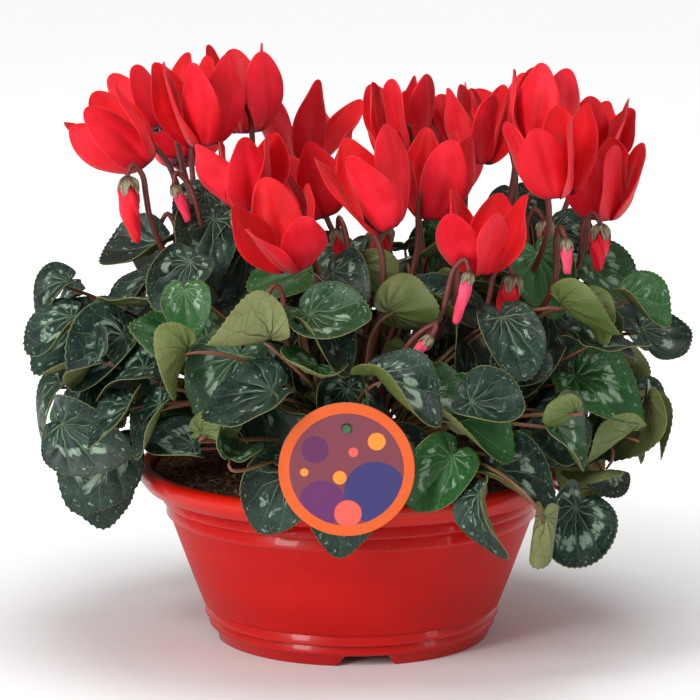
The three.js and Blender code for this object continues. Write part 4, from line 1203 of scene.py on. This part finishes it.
def card_material():
    """The card's print: an orange border round plum and blue discs and coral dots."""
    made, tree, shader = material("tag_print", 0.3, **{"Coat Weight": 0.08, "Coat Roughness": 0.3})
    parts = parts_of(tree, coordinates(tree))
    x, z = (
        product(tree, calc(tree, "SUBTRACT", part, TAG[axis] * MM), 1 / (TAG["radius"] * MM))
        for part, axis in ((parts[0], "x"), (parts[2], "z"))
    )
    fibre = grain(tree, coordinates(tree), 1400, 3.0)
    field = blend(tree, fibre, rgb(112, 50, 62), rgb(124, 58, 70))
    for centre, radius, colour in CARD_DISCS:
        field = blend(tree, inside_disc(tree, x, z, centre, radius), field, rgb(*colour))
    border = blend(tree, fibre, rgb(208, 80, 22), rgb(222, 96, 34))
    colour = blend(tree, inside_disc(tree, x, z, (0, 0), 0.84), border, field)
    finish_material(tree, shader, colour, scaled(tree, fibre, 0.15, 0.42), fibre, 0.15, 0.0002)
    return made


def pot_material():
    """Moulded plastic: satin on the wall, glossy on its rings and rim, with painted light that makes the
    rim's top brighter and more orange.
    """
    made, tree, shader = material("pot_plastic", 0.2, **{"Coat Roughness": 0.05})
    where = coordinates(tree)
    flow = grain(tree, stretched(tree, where, (1, 1, 3)), 14, 3.0)
    grit = grain(tree, where, 420, 2.0)
    height = parts_of(tree, where)[2]
    wall = band(tree, height, (0.0202, 0.0212), (0.0775, 0.0785))
    colour = blend(tree, step(tree, flow, 0.3, 0.75), rgb(176, 8, 5), rgb(188, 13, 7))
    colour = tint(tree, colour, step(tree, grit, 0.62, 0.76), 0.28, rgb(214, 70, 56))
    # painted light: from 95 mm up, the rim is painted brighter and more orange than the wall
    colour = blend(tree, step(tree, height, 0.095, 0.104), colour, rgb(196, 22, 3))
    rough = scaled(tree, flow, 0.1, scaled(tree, grit, 0.08, 0.24))
    rough = scaled(tree, wall, 0.14, rough)
    tree.links.new(scaled(tree, wall, -0.17, 0.2), shader.inputs["Coat Weight"])
    finish_material(tree, shader, colour, rough, grit, 0.08, 0.0002)
    return made


MOTTLE, STREAKS, PETAL_VEINS = mottle_group(), streak_group(), petal_group()
LEAF_SET = leaf_materials()
PETIOLE = stem_material("leaf_stalk", (112, 84, 52), (142, 122, 72), (112, 62, 48))
STALK = stem_material("flower_stalk", (80, 38, 32), (112, 56, 47), (104, 46, 40))
CALYX = calyx_material()
# The third colour of each petal material is the painted sheen of its rim.
PETAL_IN = petal_material("petal_inner", (228, 10, 24), (190, 0, 12), (240, 56, 66), (88, 2, 36))
PETAL_OUT = petal_material("petal_outer", (238, 28, 52), (208, 2, 22), (248, 84, 104), (96, 4, 42))
MOUTH = petal_material("flower_mouth", (128, 8, 50), (84, 4, 36), (150, 20, 60))
PINK = petal_material("bud_pink", (244, 84, 116), (226, 40, 78), (252, 140, 160))
STYLE = speckled("style", (236, 190, 196), (250, 232, 226), 900, 0.5)
PEAT = speckled("peat", (66, 44, 32), (150, 112, 82), 260, 0.95, 6.0, 0.9, 0.0012)
FIBRE = speckled("peat_fibre", (104, 74, 50), (176, 140, 100), 700, 0.9)
BARK = speckled("corm_bark", (52, 34, 24), (104, 72, 50), 120, 0.85, 5.0, 0.8, 0.001)
POT = pot_material()
PRINT = card_material()
CARD_BACK = speckled("card_back", (222, 214, 200), (236, 230, 218), 900, 0.7)
PICK_GREEN = speckled("pick_plastic", (34, 74, 42), (50, 98, 56), 300, 0.45)


# ---- Fine leaves ----
def leaf_height(leaf, share, angle, r):
    """The blade's lift: the part's own, with puckers between veins and a wavy, curled rim."""
    stations = np.interp(np.abs(angle), VEINS + [math.pi], np.arange(len(VEINS) + 1))
    pucker = np.abs(np.sin(math.pi * stations)) * np.sin(math.pi * np.minimum(1, share)) * PUCKER
    ripple = leaf["ripple"] * share**4 * np.sin(leaf["ripples"] * angle + 2 * leaf["phase"])
    curl = leaf["curl"] * share**3 * np.sin(angle) ** 2
    return r * lift(leaf, angle) + leaf["length"] * (pucker + ripple + curl)


def rolled(across, roll):
    """Distances along a surface that rolls up: how far across and how high they end."""
    roll = np.where(np.abs(roll) < 1e-3, 1e-3, roll)
    return np.sin(roll * across) / roll, (1 - np.cos(roll * across)) / roll


def leaf_blade(piece, leaf):
    """A toothed blade, bent over its two sides and its tip by the leaf's rolls."""
    angles = np.linspace(-math.pi, math.pi, LEAF_SIDES + 1)
    share, angle = pairs(LEAF_RINGS, angles)
    teeth = 1 - np.abs(np.sin(angle * LEAF_TEETH / 2)) + 0.35 * np.sin(3 * angle + leaf["phase"])
    r = share * leaf["length"] * outline(angle) * (1 + TOOTH_DEPTH * (teeth - 0.4) * share**6)
    flat_x, flat_y = r * np.cos(angle), r * np.sin(angle) * LEAF_WIDTH
    right, left, end = leaf["rolls"]
    y, side_lift = rolled(flat_y, np.where(flat_y < 0, -right, left) / leaf["length"])
    x, tip_lift = rolled(flat_x, np.where(flat_x < 0, 0, end) / leaf["length"])
    side_lift = np.abs(side_lift) * np.sign(np.where(flat_y < 0, right, left))
    z = leaf_height(leaf, share, angle, r) + side_lift + tip_lift
    rest = combine(leaf["junction"], x, leaf["tip"], y, leaf["side"], z, leaf["face"])
    index = np.arange(len(share)).reshape(len(LEAF_RINGS), -1) + 1
    edge = [*index[-1], *index[-2::-1, -1], 0, *index[:-1, 0]]
    faces = np.vstack([fan(0, index[0])[:-1], grid(*index.shape)[:, [0, 3, 2, 1]] + 1])
    points, faces, slots = thick(np.vstack([leaf["junction"], rest]), faces, edge, BLADE_THICKNESS)
    uv = np.vstack([[[0, 0]], np.stack([flat_x, flat_y], 1) / leaf["length"]])
    piece.add(points, faces, slots, np.vstack([uv, uv]), leaf["tone"], np.tile(np.append(0, share), 2))


def leaf_stem(piece, leaf):
    """A leaf's stalk, which ends inside its blade."""
    path = np.array(along(leaf["curve"], np.linspace(0, 1, 15 if FINE else 8)))
    path[-1] -= leaf["face"] * 0.8
    radii = np.interp(np.linspace(0, 1, len(path)), [0, 0.2, 0.9, 1], [1.1, 1.35, 1.1, 0.6])
    tube(piece, path, radii, 8 if FINE else 5, 3, leaf["tone"])


def crown(piece, foot, radius, slot=0):
    """The stump that stalks grow from, from its foot in the corm to its rounded top."""
    path = [foot * vec(1, 1, 0) + UP * z for z in (STUB["foot"], 115, 119, STUB["top"])]
    tube(piece, path, radius - np.array([0, 0, 0.4, 1.4]), 12, slot)


def shape_leaves(leaves):
    """Gives each leaf its curl, its rolled sides and tip, its ripples and its tone."""
    draw = drawer(LOOK_SEED)
    for leaf in leaves:
        leaf["curl"] = draw(-0.06, 0.14)
        rolls = draw(0, 2.8), draw(0, 2.8), draw(-1.2, 1.2)
        cupped = CUPPED if leaf["face"] @ (leaf["junction"] - MOUND_MIDDLE) < 0 else 0
        leaf["rolls"] = rolls[0] + cupped, rolls[1] + cupped, rolls[2]
        leaf["ripple"] = draw(0.004, 0.02)
        leaf["ripples"] = 5 + math.floor(draw(0, 4))
        leaf["tone"] = draw(0, 1)
    leaves[TAG_LEAF]["rolls"] = 0, 0, 0
    leaves[FURLED_LEAF]["rolls"] = FURLED_ROLLS
    leaves[FURLED_LEAF]["length"] *= FURLED_SHARE


def leaf_pieces(leaves):
    shape_leaves(leaves)
    for trunk in sorted({leaf["trunk"] for leaf in leaves}):
        _, name, number = trunk.split("_")
        piece = Piece(f"{name}_leaf_spray_{number}", *LEAF_SET, PETIOLE)
        for leaf in leaves:
            if leaf["trunk"] == trunk:
                leaf_blade(piece, leaf)
                leaf_stem(piece, leaf)
        plant = PLANTS[name]
        turn = math.radians(plant["turn"] + 360 / plant["stubs"] * (int(number) - 1))
        crown(piece, beside(plant, STUB["ring"], turn, 0), STUB["radius"], 3)
        piece.make("leaves", *([trunk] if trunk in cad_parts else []))


# ---- Fine flowers ----
def calyx(piece, stalk, growth):
    """Five pointed green lobes that hold the flower, open below."""
    down, side = stalk["down"], stalk["side"]
    seat = stalk["path"][-1] + down * STALK_END
    radius = stalk["calyx"] * growth
    third = np.cross(down, side)
    t, a = pairs(np.linspace(0, 1, 6), np.arange(40) / 40 * TURN)
    lobes = growth * (3.4 + 1.05 * stalk["calyx"] * np.abs(np.cos(2.5 * a)) ** 1.4)
    r = 1.7 + (radius - 1.2) * np.sin(t * math.pi / 2) ** 0.8
    points = combine(seat, t * lobes - 3.8, down, r * np.cos(a), side, r * np.sin(a), third)
    piece.add(points, grid(6, 40, True)[:, ::-1], 1, np.stack([a / TURN, t * 0.6], 1), 0.5)


def stalk_tube(piece, stalk):
    """A flower stalk, as one smooth tube from its foot round its hook."""
    path = smooth_chain(along(stalk["curve"], np.arange(7) * 0.15) + stalk["bend"], 4 if FINE else 2)
    radii = np.interp(np.linspace(0, 1, len(path)), [0, 0.05, 0.75, 1], [1.4, 2, 1.85, 1.5])
    tube(piece, path, radii, 10 if FINE else 6)


def stalk_pieces(blooms, buds):
    for name, plant in PLANTS.items():
        piece = Piece(f"{name}_flower_stalks", STALK, CALYX)
        crown(piece, vec(plant["x"], plant["y"], 0), TRUNK_RADIUS)
        for flower in blooms + buds:
            stalk = flower["stalk"]
            if stalk["trunk"] == "stalks_" + name:
                stalk_tube(piece, stalk)
                calyx(piece, stalk, BUD_CALYX if "colour" in flower else 1)
        piece.make("stalks", "stalks_" + name)


def fine_width(u, cusp):
    """Half the width of a fine petal, which is broad from low down, but for its closed tip."""
    foot = 0.26 + 0.74 * (1 - np.exp(-((u / 0.24) ** 1.3)))
    point = 1 - 0.42 * cusp * np.clip((u - 0.6) / 0.35, 0, 1) ** 1.5
    return PETAL_BREADTH * foot * point * (1 + PETAL_FULLNESS * np.sin(math.pi * u**1.4) ** 2)


def fine_petal(piece, bloom, petal, draw):
    """A petal with a rolled edge, a soft crease, a wave, and a tip that leans or points."""
    rows, columns = (26, 17) if FINE else (12, 7)
    us = (1 - (1 - np.linspace(0, 1, rows)) ** 1.8) * (1 - TIP_GAP)
    u, v = pairs(us, np.linspace(-1, 1, columns))
    v = v * np.sqrt(1 - np.maximum(0, (u - PETAL_CLOSES) / (1 - PETAL_CLOSES)) ** 2.1)
    cusp = draw(0, 1) ** 4
    points = petal_points(bloom, petal, u, v, fine_width(u, cusp))
    out, wide = petal_frame(bloom, petal, u)
    normal = np.cross(wide, bloom["axis"])
    waves = draw(0.7, 1.5)
    ruffle = 3.3 * v**2 * u * np.sin(waves * TURN * u + draw(0, TURN) + 1.4 * v)
    roll = np.where(v > 0, draw(-3.5, 7), draw(-3.5, 7)) * np.abs(v) ** 2.4 * np.sin(math.pi * u**0.8)
    crease = -1.7 * np.exp(-(((v - 0.25 * np.sin(3 * u)) / 0.22) ** 2)) * np.sin(math.pi * u)
    lean = draw(-7, 7) * u**2.2
    tip = draw(-4, 7) * u**3
    rise = 3.5 * cusp * u**9
    points = points + normal * (ruffle + crease - roll)[:, None] + wide * lean[:, None]
    points = combine(points, tip, out, rise, bloom["axis"])
    uv = np.stack([np.tile(np.linspace(0, 1, columns), rows), u], 1)
    points, faces, slots = thick(points, grid(rows, columns), border(rows, columns), PETAL_THICKNESS)
    piece.add(points, faces, np.minimum(slots, 1), np.vstack([uv, uv]), draw(0, 1))


def flower_pieces(blooms):
    for number, bloom in enumerate(blooms, 1):
        draw = drawer(PETAL_SEED + number)
        piece = Piece(f"cyclamen_flower_{number:02d}", PETAL_OUT, PETAL_IN, MOUTH, STYLE)
        for petal in bloom["petals"]:
            fine_petal(piece, bloom, petal, draw)

        def place(points):
            x, y, z = points.T
            return combine(bloom["mouth"], x, bloom["side"], y, bloom["third"], z, bloom["axis"])

        turned(piece, THROAT, 20, 2, place)
        style = [bloom["mouth"] + bloom["axis"] * z for z in (6.5, 2, -0.6, -1.2)]
        tube(piece, style, [0.45, 0.4, 0.4, 0.6], 6, 3)
        piece.make("petals", f"bloom_{number:02d}")


def fine_bud(piece, bud, draw):
    """A furled bud: five overlapped edges wind down to a blunt tip."""
    rows, sides = (26, 40) if FINE else (12, 15)
    t, a = pairs(np.linspace(0, 1, rows), np.arange(sides) / sides * TURN)
    r = bud["radius"] * np.interp(t, BUD_STATIONS, BUD_GIRTHS[bud["colour"]])
    wound = (5 * (a + 2.4 * t) / TURN + draw(0, 1)) % 1
    r = r * (0.88 + 0.24 * wound**2)
    sway = bud["radius"] * 0.25 * np.sin(math.pi * t) * draw(-1, 1)
    points = combine(bud["top"], t * bud["length"], bud["down"])
    points = combine(points, r * np.cos(a) + sway, bud["side"], r * np.sin(a), bud["third"])
    n, k = rows * sides, np.arange(sides)
    faces = np.vstack([grid(rows, sides, True)[:, ::-1], fan(n, k), fan(n + 1, n - sides + k[::-1])])
    uv = np.vstack([np.stack([0.1 + 0.8 * wound, 0.3 + 0.7 * t], 1), [[0.5, 0.3], [0.5, 1]]])
    piece.add(np.vstack([points, bud["top"], bud["top"] + bud["down"] * bud["length"]]), faces, 0, uv)


def bud_pieces(buds):
    for number, bud in enumerate(buds, 1):
        red = bud["colour"] == "red"
        piece = Piece(f"flower_bud_{number:02d}", PETAL_OUT if red else PINK)
        fine_bud(piece, bud, drawer(BUD_SEED + number))
        piece.make("petals" if red else "buds", f"bud_{number:02d}")


# ---- Bowl, soil and corms ----
def ring(radius, low, high):
    """The profile of a ring round the bowl: a rounded lower edge and a face that leans in."""
    lean = 0.12 * (high - low - 1.7)
    steps = [(1.4, low), (0.4, low + 0.1), (0.1, low + 0.4), (0, low + 0.9), (0.05, low + 1.2)]
    return [(radius - inset, z) for inset, z in steps + [(0.05 + lean, high - 0.5), (0.4 + lean, high)]]


def turns_of(row):
    """The turns of things that stand at even spaces round the bowl."""
    return [math.radians(row["first_turn"] + 360 / row["count"] * k) for k in range(row["count"])]


def pot_piece():
    """The bowl, with notches in its foot and drain holes in its floor."""
    outer = [
        (78, 0), (86.2, 0), (87, 0.6), (88, 6.2), (88.8, 7.2), *ring(90.8, 7.6, 13.5),
        *ring(93.2, 13.9, 20.4), (93.6, 20.6), (94.2, 21.6), (101.6, 41), (108.6, 60.5), (114.7, 77.6),
        (115.4, 78.6), *ring(117.3, 79, 86.9), *ring(119.6, 87.3, 95), (119.4, 95.4), (122, 95.9),
        (128.6, 96.6), (130.4, 97.6), (134, 102.4), (135, 104.6), (134.9, 107.4), (134.2, 109.4),
        (132.6, 110.9), (130.4, 111.4),
    ]
    inner = [
        (128.4, 111.2), (127, 109.8), (126, 106), (125.2, 103), (118.4, 96.5), (112.9, 79), (91.9, 20.5),
        (88.4, 10), (87, 9.5), (0, 9.5),
    ]
    profile = [(0, 7), (76.6, 7), (77, 6.6), (77.4, 0.4)] + outer + inner

    def notched(points):
        r, a = np.hypot(points[:, 0], points[:, 1]), np.arctan2(points[:, 1], points[:, 0])
        for centre in turns_of(NOTCH):
            away = np.abs(np.sin((a - centre) / 2)) * 2 * r
            slope = (NOTCH["bottom"] / 2 - away) / (NOTCH["bottom"] - NOTCH["top"]) * 2
            floor = NOTCH["height"] * np.clip(slope, 0, 1)
            foot = (r > 70) & (points[:, 2] < 7)
            points[:, 2] = np.where(foot, np.maximum(points[:, 2], floor), points[:, 2])
        return points

    piece = Piece("red_bowl", POT)
    turned(piece, profile, 720 if FINE else 180, shape=notched)
    holes = Piece("drain_holes")
    for turn in turns_of(DRAIN):
        x, y = DRAIN["ring"] * np.array(ways(turn))
        tube(holes, [vec(x, y, DRAIN["low"]), vec(x, y, DRAIN["high"])], DRAIN["radius"], 32)
    piece.make("pot", "pot", holes=holes)


def soil_height(x, y):
    p = Vector((x * 0.05, y * 0.05, 3.1))
    lumps = noise.fractal(p, 0.9, 2.1, 4) * 1.6
    crumbs = noise.fractal(Vector((x * 0.35, y * 0.35, 8.4)), 0.7, 2.2, 3) * 1.1
    return lumps + crumbs


def soil_top(r):
    """The soil's level, which rises a little towards the rim, before its lumps."""
    return float(np.interp(r, SOIL_STATIONS, SOIL_LEVELS))


def on_soil(r, turn):
    """A point on the soil's uneven top."""
    x, y = r * math.cos(turn), r * math.sin(turn)
    return vec(x, y, soil_top(r) + soil_height(x, y))


def soil_piece():
    """The soil down to the bowl's floor, with crumbs and fibres on its uneven top."""
    piece = Piece("potting_soil", PEAT, FIBRE)
    radii = np.append(np.linspace(0, 1, 64 if FINE else 24) ** 0.8 * (SOIL_EDGE - 0.2), [SOIL_EDGE])

    def crumbly(points):
        for p in points:
            if p[2] > SOIL_TOP:
                p[2] += soil_height(p[0], p[1]) * min(1, (SOIL_EDGE - math.hypot(p[0], p[1])) / 4)
        return points

    top = [(r, soil_top(r) + 0.01) for r in radii]  # a little higher, so that crumbly moves its middle too
    turned(piece, SOIL_WALL + top[::-1], 300 if FINE else 90, shape=crumbly)
    draw = drawer(CRUMB_SEED)
    for _ in range(CRUMB_COUNT):
        r, turn, size = CRUMB_REACH * math.sqrt(draw(0, 1)), draw(0, TURN), draw(0.5, 1.0) ** 3 * 2.6
        crumb(piece, on_soil(r, turn) + UP * (size * 0.3), size, draw)
    for _ in range(FIBRE_COUNT):
        r, turn, heading, length = 120 * math.sqrt(draw(0, 1)), draw(0, TURN), draw(0, TURN), draw(3, 11)
        ahead = vec(*ways(heading), draw(-0.2, 0.3)) * length / 2
        middle = on_soil(r, turn) + UP * draw(0.2, 1.6)
        bend = vec(draw(-1, 1), draw(-1, 1), draw(0, 1.5))
        if all(math.hypot(*end[:2]) < FIBRE_REACH for end in (middle + ahead, middle - ahead)):
            tube(piece, [middle - ahead, middle + bend, middle + ahead], [0.2, 0.35, 0.15], 4, 1)
    piece.make("soil", "soil")


def crumb(piece, centre, size, draw):
    """A small uneven lump with eight faces."""
    corners = np.array([[1, 0, 0], [0, 1, 0], [-1, 0, 0], [0, -1, 0], [0, 0, 1], [0, 0, -1]], float)
    reach = np.array([draw(0.6, 1.4) for _ in corners])
    faces = [[k, (k + 1) % 4, 4, 4] for k in range(4)] + [[(k + 1) % 4, k, 5, 5] for k in range(4)]
    piece.add(centre + corners * reach[:, None] * size, faces)


def corm_pieces():
    for name, plant in PLANTS.items():
        def lumpy(points):
            for p in points:
                p *= 1 + 0.05 * noise.noise(Vector(p * 0.16) + Vector((plant["x"], 0, 0)))
            return points + vec(plant["x"], plant["y"], CORM["z"])

        a = np.radians(np.linspace(-90, 90, 22))
        profile = [(CORM["radius"] * max(0, math.cos(t)) ** 0.9, CORM["half"] * math.sin(t)) for t in a]
        profile[0], profile[-1] = (0, -CORM["half"]), (0, CORM["half"])
        piece = Piece(f"{name}_corm", BARK)
        turned(piece, profile, 48, shape=lumpy)
        piece.make("corm", "corm_" + name)


# ---- Tag ----
def tag_piece():
    """The card, punched for the pick's peg; its print faces the front."""
    piece = Piece("round_tag", PRINT, CARD_BACK)
    sides = 96
    c, s = ways(np.arange(sides) / sides * TURN)
    half, r, hole, bevel = TAG["thickness"] / 2, TAG["radius"], TAG["hole"], 0.3
    loops = [  # height of the middle, radius, and how far behind the card's middle
        (TAG["hole_z"], hole, half),
        (TAG["hole_z"], hole, -half),
        (TAG["z"], r - bevel, -half),
        (TAG["z"], r, bevel - half),
        (TAG["z"], r, half - bevel),
        (TAG["z"], r - bevel, half),
    ]
    east = vec(1, 0, 0)
    rings = [combine(vec(TAG["x"], TAG["y"] + y, z), c * size, east, s * size, UP) for z, size, y in loops]
    piece.add(np.vstack(rings), grid(6, sides, True, True), np.repeat([1, 0, 0, 1, 1, 1], sides))
    shown = piece.make("tag_card", "tag_card")
    shown.data.polygons.foreach_set("use_smooth", np.zeros(len(shown.data.polygons), bool))


def paint(node, made):
    """A better material on a CAD node whose shape is right."""
    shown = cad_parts[node]
    shown.data.materials.clear()
    shown.data.materials.append(made)


# ---- Stage ----
def aimed(name, data, place, target):
    """A lamp or camera at a place, turned to a point."""
    thing = show(name, data)
    thing.location = place
    thing.rotation_euler = (Vector(target) - Vector(place)).to_track_quat("-Z", "Y").to_euler()
    return thing


def floor_piece():
    """A pale floor that glows more with distance, so that it fades into the white round it."""
    white, tree, shader = material("studio_floor", Roughness=0.9, **{"Emission Color": (1, 1, 1, 1)})
    where = coordinates(tree)
    speck = grain(tree, where, 3.0, 2.0)
    finish_material(tree, shader, blend(tree, speck, (0.84, 0.84, 0.84, 1), (0.88, 0.88, 0.88, 1)))
    away = add(tree, "ShaderNodeVectorMath", {0: where}, operation="LENGTH").outputs["Value"]
    glow = product(tree, step(tree, away, 0.1, 0.7), 0.62)
    tree.links.new(glow, shader.inputs["Emission Strength"])
    mesh = bpy.data.meshes.new("floor")
    x, y = ways(np.arange(64) / 64 * TURN)
    mesh.from_pydata([(FLOOR_RADIUS * a, FLOOR_RADIUS * b, 0) for a, b in zip(x, y)], [], [tuple(range(64))])
    mesh.materials.append(white)
    floor = show("floor", mesh)


def stage():
    """A white surrounding that lights the plant softly, three lamps and the camera."""
    floor_piece()
    world = bpy.data.worlds.new("studio")
    world.use_nodes = True
    tree = world.node_tree
    seen = add(tree, "ShaderNodeLightPath").outputs["Is Camera Ray"]
    strength = scaled(tree, seen, 0.64, 0.36)
    tree.links.new(strength, tree.nodes["Background"].inputs["Strength"])
    tree.nodes["Background"].inputs["Color"].default_value = (1, 1, 1, 1)
    bpy.context.scene.world = world
    for name, (place, width, height, power) in LIGHTS.items():
        data = bpy.data.lights.new(name, "AREA")
        data.shape, data.size, data.size_y, data.energy = "RECTANGLE", width, height, power
        aimed(name, data, place, LIT_POINT)
    data = bpy.data.cameras.new("camera")
    data.lens, data.sensor_width = LENS, SENSOR
    bpy.context.scene.camera = aimed("camera", data, EYE, SEEN_POINT)
    bpy.context.scene.view_settings.view_transform = "Standard"


stage()
clouds = Clouds()
book_tag(clouds)
blooms, buds = place_flowers(clouds)
petals = clouds.blades.copy()
leaves, centres = place_leaves(clouds)
under = place_under_leaves(leaves, centres, petals)

pot_piece()
soil_piece()
corm_pieces()
stalk_pieces(blooms, buds)
flower_pieces(blooms)
bud_pieces(buds)
leaf_pieces(leaves + under)
tag_piece()
paint("tag_pick", PICK_GREEN)
